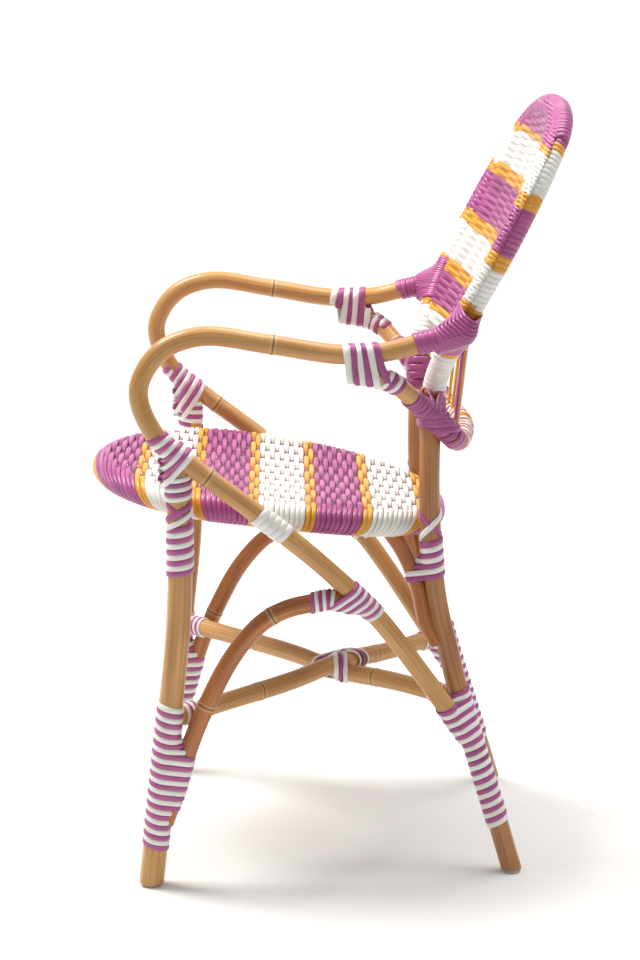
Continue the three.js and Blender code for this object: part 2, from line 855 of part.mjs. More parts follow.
// The oval in which a binding's plane cuts another pole: centre, half sizes and tilt
function ovalOf(other, { centre, along, side, rise }) {
  const near = 6 * other.radius;
  let best = 0;
  let least = Infinity;
  for (let i = 0; i <= looks; i++) {
    const point = middle(other, i / looks).sub(centre);
    const off = Math.abs(point.dot(along));
    if (point.length() < near && off < least) {
      least = off;
      best = i / looks;
    }
  }
  const run = other.path.getTangentAt(best);
  const lean = run.dot(along);
  const point = middle(other, best).sub(centre);
  point.addScaledVector(run, -point.dot(along) / lean);
  const tilt = Math.atan2(run.dot(rise), run.dot(side));
  const radius = other.radius + 2 * gap;
  return { x: point.dot(side), y: point.dot(rise), long: radius / Math.abs(lean), short: radius, tilt };
}

function sleeve(binding) {
  return loft([...binding.rings(gap + bindWall), ...binding.rings(gap).reverse()], true);
}

// The room that a finished binding takes up with its clearance
function roomOf(binding) {
  return loft(binding.rings(bindLayers + gap));
}

let leastGap = Infinity;

// One unbroken strand, low and three-sided, that circles the binding at a steady pitch
function winding(binding, loops, height = bindLayers - strandWall) {
  const total = loops * bindSides;
  const half = strandWidth / 2 / binding.length();
  const rings = [];
  for (let i = 0; i <= total; i++) {
    const share = half + (1 - 2 * half) * (i / total);
    rings.push([
      binding.between(share - half, i, height),
      binding.between(share, i, height + strandWall),
      binding.between(share + half, i, height),
    ]);
  }
  for (let i = 0; i + bindSides <= total; i++) {
    leastGap = Math.min(leastGap, rings[i][2].distanceTo(rings[i + bindSides][0]));
  }
  return loft(rings);
}

// The stretch of a pole between two values of one coordinate, looked for between two shares
function stretch(piece, axis, values, [low, high], others) {
  const [from, to] = values.map((value) => shareWhere(piece.path, axis, value, low, high));
  return new Binding(piece, from, to, others);
}

// Mirrors a finished geometry to the other side, with its faces turned back outwards
function onSide(side, geometry) {
  if (side > 0) {
    return geometry;
  }
  const mirror = new THREE.Matrix4().makeScale(-1, 1, 1);
  const copy = mergeVertices(geometry.clone().deleteAttribute("normal").deleteAttribute("uv"));
  copy.applyMatrix4(mirror);
  copy.setIndex([...copy.index.array].reverse());
  copy.computeVertexNormals();
  return copy;
}

// Assembly

const wholeLength = [0, 1];
const leftHalf = [0, 0.5];
const leg = { path: route(frontLegPoints()), radius: frontLegRadius, sides: 10, steps: 14 };
const rail = { path: route(railPoints()), radius: railRadius, sides: 8, steps: 48 };
const arch = { path: route(archPoints(leg.path)), radius: archRadius, sides: 8, steps: 16 };
const knee = { path: route(kneePoints()), radius: kneeRadius, sides: 8, steps: 8 };

function stretcher(side) {
  const front = pointWhere(leg.path, "z", stretcherHeight);
  const rear = onBack(stretcherHeight);
  front.x *= side;
  rear.x *= -side;
  return { path: new THREE.LineCurve3(front, rear), radius: stretcherRadius, sides: 12, steps: 1 };
}

const stretchers = [stretcher(1), stretcher(-1)];
const lap = pointWhere(stretchers[0].path, "x", 0);
const lapLine = new THREE.LineCurve3(
  lap.clone().setY(lap.y - centreTieLength / 2),
  lap.clone().setY(lap.y + centreTieLength / 2),
);
const lapMiddle = { path: lapLine, radius: stretcherRadius, steps: 1 };

// The height where an arch has left its leg by the room that a binding needs
function splitHeight() {
  const reach = frontLegRadius + archRadius + bindLayers + gap;
  const points = arch.path.getSpacedPoints(looks);
  return points.find((p) => p.y - pointWhere(leg.path, "z", p.z).y > reach).z;
}

// Where the bindings lie on the +X side
const meets = onArm("y", -frontLegReach, armFront);
const upperTop = seatTop(-frontLegReach) - upperBindDrop;
const underSeat = seatTop(legPlace.y) - 2 * rimRadius - strandWidth;
const split = splitHeight();
const archTop = archFootHeight + archRise;
const backJoint = onBack(jointHeight);
const strutBind = [strutPlace.y + strandWidth, strutPlace.y + strutBindLength];
const armEnd = onBack(armEndHeight).y + armEndOverrun;
const bindings = {
  front_joint: stretch(arm, "z", [meets.z + jointBindAbove, meets.z - jointBindBelow], armFront),
  front_upper: stretch(leg, "z", [upperTop, upperTop - upperBindLength], wholeLength),
  front_shin: stretch(leg, "z", [split + shinBindLength, split + gap], wholeLength),
  front_foot: stretch(leg, "z", [split - gap, lowerBindFoot], wholeLength, [arch]),
  rear_upper: stretch(back, "z", [underSeat, underSeat - rearBindLength], leftHalf, [knee]),
  rear_lower: stretch(back, "z", [braceEndHeight + rearBindRise, lowerBindFoot], leftHalf),
  arm_strut: stretch(arm, "y", strutBind, armRear, [rail]),
  arch_top: stretch(arm, "z", [archTop + archBindAbove, archTop - archBindBelow], armLow),
};
const plainBindings = {
  back_joint: stretch(rail, "y", [backJoint.y - backBindBefore, backJoint.y + backBindBehind], leftHalf),
  arm_end: stretch(arm, "y", [armEnd - endBindLength, armEnd - gap], armRear),
};
const seatTie = stretch(arm, "y", [tieReach, tieReach + tieLength], armLow);
const centreTie = new Binding(lapMiddle, 0, 1, stretchers);

const onBothSides = (geometry) => [geometry, onSide(-1, geometry)];
const backRoom = roomFor(back);
const railRoom = roomFor(rail);
const rimRoom = roomFor(ring, skinWall + ridgeHeight);
const legRoom = roomFor(leg);
const legRooms = [roomOf(bindings.front_shin), roomOf(bindings.front_foot), legRoom].flatMap(onBothSides);
const braceRooms = onBothSides(roomOf(bindings.rear_lower));
const floorRoom = box(0, 0, glideHeight + gap - 2 * overrun, 4 * seatWidth, 6 * seatWidth, 4 * overrun);

const armRoom = roomFor(arm);
const cutLeg = cut(pole(leg), [roomOf(bindings.front_joint), armRoom, floorRoom]);
const cutArm = cut(pole(arm), [braceRooms[0], backRoom]);
const cutArch = cut(pole(arch), [roomOf(bindings.arch_top), legRoom]);
const crossRooms = stretchers.map((piece) => roomFor(piece));
const cutKnee = cut(pole(knee), [backRoom, rimRoom, armRoom, ...crossRooms]);

add("back_pole", cut(pole(back), [floorRoom]), brownRattan);
add("seat_ring", pole(ring), rattan);
add("seat_weave", seatWeave(), purple);
add("back_rail", pole(rail), rattan);
add("back_weave", backWeave(rail.path, [railRoom]), purple);

// Stretchers: two straight poles that cross under the seat, each halved into the other
function halved(piece, other, up) {
  const reach = 2 * overrun;
  const height = stretcherHeight + up * (reach / 2 - gap / 2);
  const half = solidOf(box(lap.x, lap.y, height, 2 * reach, 2 * reach, reach));
  return geometryOf(solidOf(roomFor(other)).intersect(half));
}

const [near, far] = stretchers;
const ends = [...legRooms, ...braceRooms, backRoom, ...onBothSides(armRoom)];
add("stretcher_left_front", cut(pole(near), [...ends, halved(near, far, 1)]), rattan);
add("stretcher_right_front", cut(pole(far), [...ends, halved(far, near, -1)]), rattan);

// Rails that cross inside the seat's edge, under the woven sheet
function seatRail(y) {
  const x = planHalfWidth(y) - rimRadius;
  const z = seatTop(y) - seatSag - sheetWall - 2 * gap - seatRailRadius;
  const path = new THREE.LineCurve3(vec(-x, y, z), vec(x, y, z));
  return cut(pole({ path, radius: seatRailRadius, sides: 10, steps: 1 }), [roomFor(ring)]);
}

add("seat_rail_front", seatRail(-frontRailReach), rattan);
add("seat_rail_rear", seatRail(rearRailReach), rattan);

function glide(x, y) {
  const disc = new THREE.CylinderGeometry(glideRadius, glideRadius, glideHeight, 16);
  disc.rotateX(Math.PI / 2);
  disc.translate(x, y, glideHeight / 2);
  return disc;
}

const frontFoot = pointWhere(leg.path, "z", glideHeight);
const rearFoot = onBack(glideHeight);

for (const [side, hand] of [
  [1, "left"],
  [-1, "right"],
]) {
  const addOn = (name, geometry, finish) => add(`${name}_${hand}`, onSide(side, geometry), finish);
  addOn("front_leg", cutLeg, rattan);
  addOn("arm_pole", cutArm, rattan);
  addOn("arch_brace", cutArch, brownRattan);
  addOn("knee_brace", cutKnee, brownRattan);
  addOn("front_glide", glide(frontFoot.x, frontFoot.y), nylon);
  addOn("rear_glide", glide(rearFoot.x, rearFoot.y), nylon);
  for (const [name, binding] of Object.entries(bindings)) {
    addOn(name + "_binding", sleeve(binding), white);
    addOn(name + "_strand", winding(binding, bindLoops[name]), purple);
  }
  for (const [name, binding] of Object.entries(plainBindings)) {
    addOn(name + "_binding", sleeve(binding), purple);
  }
  addOn("seat_tie", winding(seatTie, tieLoops, gap), white);
}
add("centre_tie", winding(centreTie, centreTieLoops, -gap), white);
console.log("least gap of a winding to itself: " + leastGap.toFixed(2) + " mm");

// The object's frame: the middle of its width and depth, and the floor under its feet
const whole = new THREE.Box3().setFromObject(chair);
const shift = whole.getCenter(new THREE.Vector3()).setZ(whole.min.z);
for (const mesh of chair.children) {
  mesh.geometry.translate(-shift.x, -shift.y, -shift.z);
}

export default chair;
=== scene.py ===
"""The looks of a rattan bistro armchair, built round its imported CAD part.

Metres, +Z up. The sitter faces -Y, and +X is the sitter's left, the side that the camera sees.
"""

import bpy
import numpy as np
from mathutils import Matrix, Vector


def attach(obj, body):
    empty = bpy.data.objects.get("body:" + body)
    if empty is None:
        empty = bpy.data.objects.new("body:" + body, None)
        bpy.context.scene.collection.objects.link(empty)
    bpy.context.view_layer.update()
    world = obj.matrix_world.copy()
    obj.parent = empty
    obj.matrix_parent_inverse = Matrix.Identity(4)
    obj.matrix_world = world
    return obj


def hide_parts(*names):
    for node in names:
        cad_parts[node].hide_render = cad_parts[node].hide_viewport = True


bl_info = {
    "name": "Rattan bistro armchair",
    "version": (1, 0, 0),
    "blender": (4, 5, 0),
    "location": "3D View > Sidebar > Chair",
    "description": "Canes, woven seat and back, and bindings of a rattan bistro armchair",
    "category": "Object",
}

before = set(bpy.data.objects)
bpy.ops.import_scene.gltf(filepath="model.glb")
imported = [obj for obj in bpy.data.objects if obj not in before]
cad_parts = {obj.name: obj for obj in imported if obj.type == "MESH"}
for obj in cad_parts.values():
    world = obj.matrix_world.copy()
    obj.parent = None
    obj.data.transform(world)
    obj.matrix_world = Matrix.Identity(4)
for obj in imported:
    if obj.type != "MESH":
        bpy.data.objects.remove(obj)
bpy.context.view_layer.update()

MM = 0.001
# Which of a point's coordinates is its depth and which its height
DEPTH, HEIGHT = 1, 2

# Routes of the canes on the +X side, in millimetres, through the middle of each cane
BACK_HALF = [
    (160.1, 217.2, 0),
    (152.7, 202.2, 50.7),
    (133.1, 153.2, 212.1),
    (129.7, 137.8, 275.2),
    (128.7, 129.8, 307.8),
    (128.1, 123, 351.9),
    (128.1, 117.2, 441),
    (124.8, 117.2, 512.1),
    (124.4, 117.7, 550),
    (136, 124, 588.8),
    (157, 135.8, 623.7),
    (174, 151.2, 658.6),
    (184.9, 169.2, 693.4),
    (188.5, 189.2, 730.9),
    (186.6, 207.9, 766.7),
    (172, 231.8, 812),
    (144.6, 248.8, 843.9),
    (102.9, 260.2, 865.7),
    (45.1, 265.1, 876.1),
]
ARM = [
    (198.9, 154.9, 650),
    (196.6, 100, 636.7),
    (200.8, 62.2, 627.7),
    (203.1, 9.9, 625.9),
    (205.7, -65.8, 637.6),
    (207.8, -142.8, 647),
    (209.7, -186.8, 629.5),
    (210.3, -210.6, 587),
    (210.3, -193.1, 536.8),
    (210.3, -149.3, 498.7),
    (210.3, -113.2, 471.4),
    (209.7, -77, 443.6),
    (201.5, -14.2, 390.3),
    (181, 52.8, 320.6),
    (171.1, 82.1, 281.7),
    (161.4, 109.3, 241.9),
    (151.7, 136.1, 201.9),
    (142.1, 163.1, 162),
]
LEG = [
    (194.6, -205.6, 0.4),
    (197.3, -188.4, 151.7),
    (200, -171.3, 303.3),
    (200.6, -167.6, 375.6),
    (200.6, -167.6, 424.7),
    (203, -168.8, 510),
]
RAIL_HALF = [
    (202.4, 30.1, 603),
    (202.1, 54, 600.2),
    (195.1, 73.2, 590.5),
    (174.7, 94.3, 570),
    (152.1, 117, 546),
    (142.6, 139.3, 522.2),
    (103.5, 151.3, 507.1),
    (49.5, 160.6, 505),
]
ARCH = [
    (196, -189.7, 75),
    (195.9, -175.6, 114.9),
    (195.6, -162.6, 158.5),
    (195.1, -147.6, 199),
    (194.5, -131.2, 235.1),
    (193.8, -115, 266),
    (193, -97.8, 291),
    (191.8, -73.8, 316),
    (190.7, -47.6, 330.1),
    (189.4, -18.1, 337),
    (188.5, 4.5, 341),
    (187.8, 26.4, 335.9),
]
KNEE = [
    (129.9, 128.8, 270),
    (127.2, 115.3, 295.7),
    (122.6, 104, 340.7),
    (118.6, 87.3, 379.2),
    (116, 70.2, 404.9),
]
CROSS_LEFT = [(198.3, -182.4, 202.6), (-133.9, 155.6, 203.9)]

# Where the two canes that reach from side to side pass the middle
BACK_MIDDLE, RAIL_MIDDLE = (0, 266.5, 877), (0, 163.6, 505)

# The radii of the seat's ring and of the canes in millimetres, and how many points a path has
RING_RADIUS = 12.6
RADII = {"back": 12, "arm": 11, "leg": 14, "rail": 10.5, "arch": 10.5, "knee": 9.5, "cross": 11}
POINTS = {"back": 900, "arm": 520, "leg": 220, "rail": 400, "arch": 220, "knee": 80, "cross": 220}
# Nothing of a cane lies lower than this, just above the glides
FOOT = 3.2 * MM

# The direction to which a cane's section is turned, where its growth marks are, as shares of its
# length, its finish and the CAD node it stands for
CANES = {
    "back": ((0, 1, 0), (0.075, 0.178, 0.825, 0.93), "brown", "back_pole"),
    "rail": ((0, 0, 1), (0.13, 0.87), "honey", "back_rail"),
    "arm": ((1, 0, 0), (0.225, 0.54, 0.62, 0.79), "honey", "arm_pole"),
    "leg": ((1, 0, 0), (0.35,), "honey", "front_leg"),
    "arch": ((1, 0, 0), (0.4, 0.75), "red", "arch_brace"),
    "knee": ((1, 0, 0), (), "red", "knee_brace"),
}
CROSS_MARKS = (0.3, 0.72)

# Where each joint is wound: the coordinate that tells the place along its cane, its values at
# the winding's ends and the length that one turn of all its strands covers, in millimetres,
# and the share of the cane that is meant where the values come twice
WINDINGS = {
    "front_joint": (HEIGHT, 536, 504, 11.6, (0.35, 0.75)),
    "front_collar": (HEIGHT, 489, 462, 10.7),
    "front_upper": (HEIGHT, 434, 372, 12.8),
    "front_lower": (HEIGHT, 221, 48, 12.4),
    "rear_upper": (HEIGHT, 396, 352, 12.8),
    "rear_lower": (HEIGHT, 214, 58, 11.8),
    "brace_end": (HEIGHT, 200, 186, 11.8, (0.8, 1)),
    "arm_strut": (DEPTH, 16, 60, 14.6, (0, 0.35)),
    "strut": (DEPTH, 60, 79, 11),
    "arch": (DEPTH, -20, 7, 8.9),
    "arch_top": (HEIGHT, 354, 319, 9.4, (0.6, 1)),
    "rail_ring": (DEPTH, 92, 150, 6),
    "back_joint": (DEPTH, 104, 146, 8.4),
    "joint_side": (HEIGHT, 526, 566, 8.4),
    "arm_ring": (DEPTH, 97, 134, 6, (0, 0.3)),
    "side_ring": (HEIGHT, 627, 668, 6),
    "arm_end": (HEIGHT, 626, 672, 3),
    "seat_tie": (DEPTH, -80, -46, 8, (0.6, 1)),
}
# Strands that cross a leg once: the heights of their ends and how far they lie off the leg, in
# millimetres
CROSSINGS = {
    "front_rising": (438, 462, 0.8),
    "front_low_rising": (427, 452, 1.2),
    "front_falling": (462, 436, 0),
    "rear_rising": (396, 432, 0.8),
    "rear_falling": (432, 398, 0),
}
# Ties round the crossing of the stretchers: which way they run, and their ends from its middle,
# in millimetres
TIES = {"centre_tie": ((0, 1, 0), (-8.5, 8.5)), "centre_arc": ((1, 0, 0), (-19, -4))}
STRIPED, PURPLE = ("purple", "white"), ("purple",)


# Small vector helpers


def unit(v):
    """Vectors of length one that point the same way."""
    return v / np.maximum(np.linalg.norm(v, axis=-1, keepdims=True), 1e-12)


def mirrored(points):
    """The same points on the other side of the chair."""
    return np.asarray(points, float) * [-1, 1, 1]


def whole(half, middle):
    """A route from the +X side through a middle point to the -X side."""
    half = np.asarray(half, float)
    return np.vstack([half, [middle], mirrored(half)[::-1]])


def even(points, count):
    """Points at equal distances along a smooth curve through the given points.

    Between two neighbours the curve is a cubic. Its slopes there are those of a curve whose
    knots lie apart by the square root of the distances, which keeps it from overshooting.
    """
    p = np.asarray(points, float) * MM
    p = np.vstack([2 * p[0] - p[1], p, 2 * p[-1] - p[-2]])
    knots = np.sqrt(np.linalg.norm(np.diff(p, axis=0), axis=1))[:, None]
    k0, k1, k2 = knots[:-2], knots[1:-1], knots[2:]
    a, b, c, d = p[:-3], p[1:-2], p[2:-1], p[3:]
    start = ((b - a) / k0 - (c - a) / (k0 + k1) + (c - b) / k1) * k1
    end = ((c - b) / k1 - (d - b) / (k1 + k2) + (d - c) / k2) * k1
    fine_points = 40
    t = np.linspace(0, 1, fine_points, endpoint=False)[None, :, None]
    fine = (
        (2 * t**3 - 3 * t**2 + 1) * b[:, None]
        + (t**3 - 2 * t**2 + t) * start[:, None]
        + (3 * t**2 - 2 * t**3) * c[:, None]
        + (t**3 - t**2) * end[:, None]
    ).reshape(-1, 3)
    return resampled(np.vstack([fine, p[-2]]), count)


def run_of(path):
    """Distance along a path at each of its points."""
    return np.concatenate([[0], np.cumsum(np.linalg.norm(np.diff(path, axis=0), axis=1))])


def resampled(fine, count):
    """The same line with its points at equal distances."""
    run = run_of(fine)
    at = np.linspace(0, run[-1], count)
    return np.stack([np.interp(at, run, fine[:, i]) for i in range(3)], axis=-1)


def stretch(path, axis, low, high):
    """The points of a path at which one coordinate lies between two values in millimetres."""
    place = path[:, axis] / MM
    return path[(place > low) & (place < high)]


def part_of(path, axis, low, high, between=(0, 1)):
    """Distances along a path at which one coordinate passes two values in millimetres."""
    run = run_of(path)
    first, last = (int(share * (len(path) - 1)) for share in between)
    line = path[first : last + 1, axis]
    places = [first + int(np.abs(line - value * MM).argmin()) for value in (low, high)]
    return run[places[0]], run[places[1]]


def across(path, towards):
    """Unit directions at each point of a path: along it, and two at right angles to it."""
    along = unit(np.gradient(path, axis=-2))
    side = unit(towards - (along @ towards)[..., None] * along)
    return along, side, np.cross(along, side)


# Meshes


class Skin:
    """Gathers grids of points into the points and faces of one mesh."""

    def __init__(self):
        self.points, self.quads, self.tris, self.uvs, self.marks, self.painted_shades = [], [], [], [], [], []
        self.count = 0

    def grid(self, points, marks, runs, deep=0.0):
        """Adds rings of points (pieces, rings, places round, 3) as tubes with closed ends.

        Each ring joins the next, and its last point joins its first. A fan of triangles round
        a middle point closes each end.
        """
        pieces, rings, places = points.shape[:3]
        index = np.arange(pieces * rings * places).reshape(pieces, rings, places) + self.count
        turned = np.roll(index, -1, axis=2)
        quads = np.stack([index[:, :-1], turned[:, :-1], turned[:, 1:], index[:, 1:]], axis=-1)
        u = np.arange(places + 1) / places
        low, high = (
            np.broadcast_to(part[..., None], quads.shape[:3]) for part in (runs[:, :-1], runs[:, 1:])
        )
        left, right = (np.broadcast_to(part, quads.shape[:3]) for part in (u[:-1], u[1:]))
        uv = np.stack([left, low, right, low, right, high, left, high], axis=-1)
        self.quads.append(quads.reshape(-1, 4))
        self.uvs.append(uv.reshape(-1, 4, 2))
        mark, deep = (np.broadcast_to(part, (pieces, rings, places)) for part in (marks, deep))
        self.points.append(points.reshape(-1, 3))
        self.marks.append(mark.reshape(-1))
        self.painted_shades.append(deep.reshape(-1))
        self.count += pieces * rings * places
        for ring, flip in ((0, True), (-1, False)):
            tip = np.broadcast_to((np.arange(pieces) + self.count)[:, None], (pieces, places))
            pair = [index[:, ring], turned[:, ring]]
            fan = np.stack([tip, *(pair[::-1] if flip else pair)], axis=-1)
            self.tris.append(fan.reshape(-1, 3))
            self.points.append(points[:, ring].mean(axis=1))
            self.marks.append(mark[:, ring].mean(axis=1))
            self.painted_shades.append(deep[:, ring].mean(axis=1))
            self.count += pieces

    def make(self, name, colour, replaces=(), mirror=False):
        """Makes the mesh object in one finish, on the +X side or mirrored to the other."""
        points = np.vstack(self.points)
        quads = np.vstack(self.quads)
        tris = np.vstack(self.tris)
        uvs = np.vstack(self.uvs)
        if mirror:
            points = mirrored(points)
            quads, tris, uvs = quads[:, ::-1], tris[:, ::-1], uvs[:, ::-1]
        mesh = bpy.data.meshes.new(name)
        mesh.vertices.add(len(points))
        mesh.vertices.foreach_set("co", points.astype(np.float32).ravel())
        loops = np.concatenate([quads.ravel(), tris.ravel()])
        mesh.loops.add(len(loops))
        mesh.loops.foreach_set("vertex_index", loops.astype(np.int32))
        sizes = np.concatenate([np.full(len(quads), 4), np.full(len(tris), 3)])
        starts = np.cumsum(sizes) - sizes
        mesh.polygons.add(len(sizes))
        mesh.polygons.foreach_set("loop_start", starts.astype(np.int32))
        mesh.polygons.foreach_set("use_smooth", np.ones(len(sizes), bool))
        layer = mesh.uv_layers.new(name="UVMap")
        flat = np.concatenate([uvs.ravel(), np.zeros(2 * tris.size)])
        layer.data.foreach_set("uv", flat.astype(np.float32))
        # The mark holds a strand's tone or the distance to a cane's growth mark; the deep value holds how
        # much painted shade darkens a strand where it dips
        for key, values in (("mark", self.marks), ("deep", self.painted_shades)):
            attribute = mesh.attributes.new(key, "FLOAT", "POINT")
            attribute.data.foreach_set("value", np.concatenate(values).astype(np.float32))
        mesh.update()
        mesh.validate()
        mesh.materials.append(finishes()[colour])
        piece = bpy.data.objects.new(name, mesh)
        bpy.context.scene.collection.objects.link(piece)
        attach(piece, "root")
        if replaces:
            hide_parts(*replaces)


# The outline of a strand's section: places across it and heights above the surface it lies on
LENS = np.array(
    [(1, 0.1), (0.85, 0.68), (0.38, 1), (-0.38, 1), (-0.85, 0.68), (-1, 0.1), (-0.6, -0.3), (0.6, -0.3)]
)


def strands(skin, points, normals, width, height, marks=0.0, deep=0.0):
    """Adds strands that follow lines of points (pieces, points, 3) on a surface.

    Each strand has a low rounded section, set across the line and square to the surface.
    """
    along = np.gradient(points, axis=1)
    side = unit(np.cross(normals, along))
    width = np.broadcast_to(width, points.shape[:2])[..., None, None] / 2
    height = np.broadcast_to(height, points.shape[:2])[..., None, None]
    rings = (
        points[:, :, None]
        + side[:, :, None] * LENS[:, :1] * width
        + normals[:, :, None] * LENS[:, 1:] * height
    )
    runs = np.stack([run_of(line) for line in points])
    # deep: how much painted shade darkens each point, where the strand dips under a rib
    deep = np.broadcast_to(deep, points.shape[:2])[..., None]
    skin.grid(rings, np.reshape(marks, (-1, 1, 1)), runs, deep=deep)


# Canes

# A cane's surface: how it swells at a growth mark, how uneven it is, with the waves of that in
# radians to the metre and their shift from cane to cane, and how its cut ends are rounded
SWELLING, SWELLING_REACH = 0.5 * MM, 4 * MM
UNEVENNESS, WAVE, WAVE_SHIFT = 0.15 * MM, 41, 99
ROUNDING, ROUNDED_LENGTH = 1.2 * MM, 2 * MM


def cane(path, radius, towards, sides, marks):
    """A round cane: rings round its path whose radius swells at its growth marks.

    The radius grows by swelling * exp(-(away / reach)^2), with away the distance to the mark.
    """
    skin = Skin()
    run = run_of(path)
    nearest = np.full(len(run), 1.0)
    for mark in marks:
        away = run - mark * run[-1]
        nearest = np.where(np.abs(away) < np.abs(nearest), away, nearest)
    reach = radius * MM + SWELLING * np.exp(-((nearest / SWELLING_REACH) ** 2))
    reach += UNEVENNESS * np.sin(run * WAVE + path[0, 0] * WAVE_SHIFT)
    edge = np.minimum(run, run[-1] - run)
    reach -= ROUNDING * (1 - np.minimum(edge / ROUNDED_LENGTH, 1)) ** 2
    _, side, rise = across(path, np.asarray(towards, float))
    turn = np.linspace(0, 2 * np.pi, sides, endpoint=False)[:, None]
    ring = np.cos(turn) * side[:, None] + np.sin(turn) * rise[:, None]
    points = path[:, None] + ring * reach[:, None, None]
    points[..., HEIGHT] = np.maximum(points[..., HEIGHT], FOOT)
    skin.grid(points[None], nearest[None, :, None], run[None])
    return skin


# Bindings

# How far the turns stray along and off the cane, how deep a strand's ends are tucked in and
# over what part of a turn, and how much narrower they are there
STRAY_ALONG, STRAY_OFF = 0.35 * MM, 0.15 * MM
TUCK, TUCKED_TURN, TUCKED_WIDTH = 1.2 * MM, 0.08, 0.9


class Wrap:
    """A skin drawn tight round a cane, or round several that lie side by side.

    At each place along the main cane, the skin's point in a direction square to the cane is
    the farthest point of any of the round sections in that direction. A section that lies
    ahead or behind counts for less the farther off it is: far = flat . ring - less + radius,
    less = fall * max(|ahead| - radius / 2, 0).
    """

    places = 48

    def __init__(self, main, radius, others=(), reach=60 * MM, towards=(1, 0, 0), fall=1.0):
        along, side, rise = across(main, np.asarray(towards, float))
        turn = np.linspace(0, 2 * np.pi, self.places, endpoint=False)
        ring = np.cos(turn)[:, None] * side[:, None] + np.sin(turn)[:, None] * rise[:, None]
        skin = main[:, None] + radius * MM * ring
        best = np.full(skin.shape[:2], radius * MM)
        for path, other in others:
            off = path[None] - main[:, None]
            ahead = np.einsum("smi,si->sm", off, along)
            flat = off - ahead[..., None] * along[:, None]
            less = fall * np.maximum(np.abs(ahead) - other / 2 * MM, 0)
            near = np.linalg.norm(off, axis=-1) < reach
            out = np.einsum("smi,ski->skm", flat, ring) - less[:, None]
            out = np.where(near[:, None], out, -np.inf)
            pick = out.argmax(axis=-1)
            far = np.take_along_axis(out, pick[..., None], -1)[..., 0] + other * MM
            chosen = np.take_along_axis(flat, pick[..., None], axis=1)
            short = np.take_along_axis(less, pick, axis=1)[..., None]
            point = main[:, None] + chosen + (other * MM - short) * ring
            skin = np.where((far > best)[..., None], point, skin)
            best = np.maximum(best, far)
        self.skin, self.ring = self.smoothed(skin), ring
        self.spread_out()
        self.run = run_of(main)

    @staticmethod
    def smoothed(skin):
        """The mean of each ring and its two neighbours, twice."""
        for _ in range(2):
            padded = np.concatenate([skin[:1], skin, skin[-1:]])
            skin = (padded[:-2] + 2 * padded[1:-1] + padded[2:]) / 4
        return skin

    def spread_out(self):
        """Moves the points of each ring to equal distances round it."""
        rows, turns = [], []
        for skin, ring in zip(self.skin, self.ring):
            loop = np.vstack([skin, skin[:1]])
            run = run_of(loop)
            at = np.linspace(0, run[-1], self.places, endpoint=False)
            both = np.hstack([loop, np.vstack([ring, ring[:1]])])
            row = np.stack([np.interp(at, run, both[:, i]) for i in range(6)], axis=-1)
            rows.append(row[:, :3])
            turns.append(unit(row[:, 3:]))
        self.skin, self.ring = np.array(rows), np.array(turns)

    def at(self, run, turn):
        """The skin's points and outward directions, at distances along and turns round it."""
        along = np.interp(run, self.run, np.arange(len(self.run)))
        row = np.minimum(along.astype(int), len(self.run) - 2)
        part = (along - row)[..., None]
        round_it = np.mod(turn, 1) * self.places
        column = round_it.astype(int) % self.places
        rest = (round_it - np.floor(round_it))[..., None]
        after = (column + 1) % self.places
        found = []
        for table in (self.skin, self.ring):
            low = table[row, column] * (1 - rest) + table[row, after] * rest
            high = table[row + 1, column] * (1 - rest) + table[row + 1, after] * rest
            found.append(low * (1 - part) + high * part)
        return found[0], unit(found[1])

    def wind(self, skin, ends, pitch, phase=0.0, width=6 * MM, hand=1, seed=0, lift=0.0, height=2 * MM):
        """Adds one strand that winds round the skin from one distance along it to another."""
        start, end = ends
        turns = abs(end - start) / pitch
        share = np.linspace(0, 1, max(int(turns * self.places), self.places // 2))
        draws = np.random.default_rng(seed).uniform(-1, 1, int(turns) + 3)
        shake = np.interp(share * turns, np.arange(len(draws)), draws)
        full = np.minimum(np.minimum(share, 1 - share) * turns / TUCKED_TURN, 1)
        run = start + (end - start) * share + shake * STRAY_ALONG
        points, normals = self.at(run, phase + hand * turns * share)
        points = points + normals * (lift - TUCK * (1 - full) + shake * STRAY_OFF)[:, None]
        width = width * (TUCKED_WIDTH + (1 - TUCKED_WIDTH) * full)
        strands(skin, points[None], normals[None], width, height, 0.5 + 0.5 * shake[:1])


# The seat's plan and height

# Where the seat's widest line lies, and how far the seat reaches from it
SEAT_LINE = -113.57 * MM
HALF_WIDTH, FRONT_REACH, REAR_REACH = 195 * MM, 165 * MM, 257 * MM
# The powers of the superellipses of its outline, before and behind that line
FRONT_POWER, REAR_POWER = 1.9, 2.3
# Its height on that line, how far its front lies above and its rear below, and how it sags
SEAT_TOP, FRONT_RISE, REAR_DROP = 460 * MM, 15 * MM, 43 * MM
SAG, SAG_REACH = 6 * MM, 150 * MM
# The radius on which the strands lie round the rim, and that of the rim with its strands
RIM, RIM_OUTER = 14.3 * MM, 16.5 * MM


def seat_top(y):
    """Height of the seat's top: a parabola through the front, the widest line and the rear."""
    y = y - SEAT_LINE
    curl = (REAR_DROP / REAR_REACH - FRONT_RISE / FRONT_REACH) / (REAR_REACH + FRONT_REACH)
    slope = FRONT_RISE / FRONT_REACH + curl * FRONT_REACH
    return SEAT_TOP - slope * y - curl * y * y


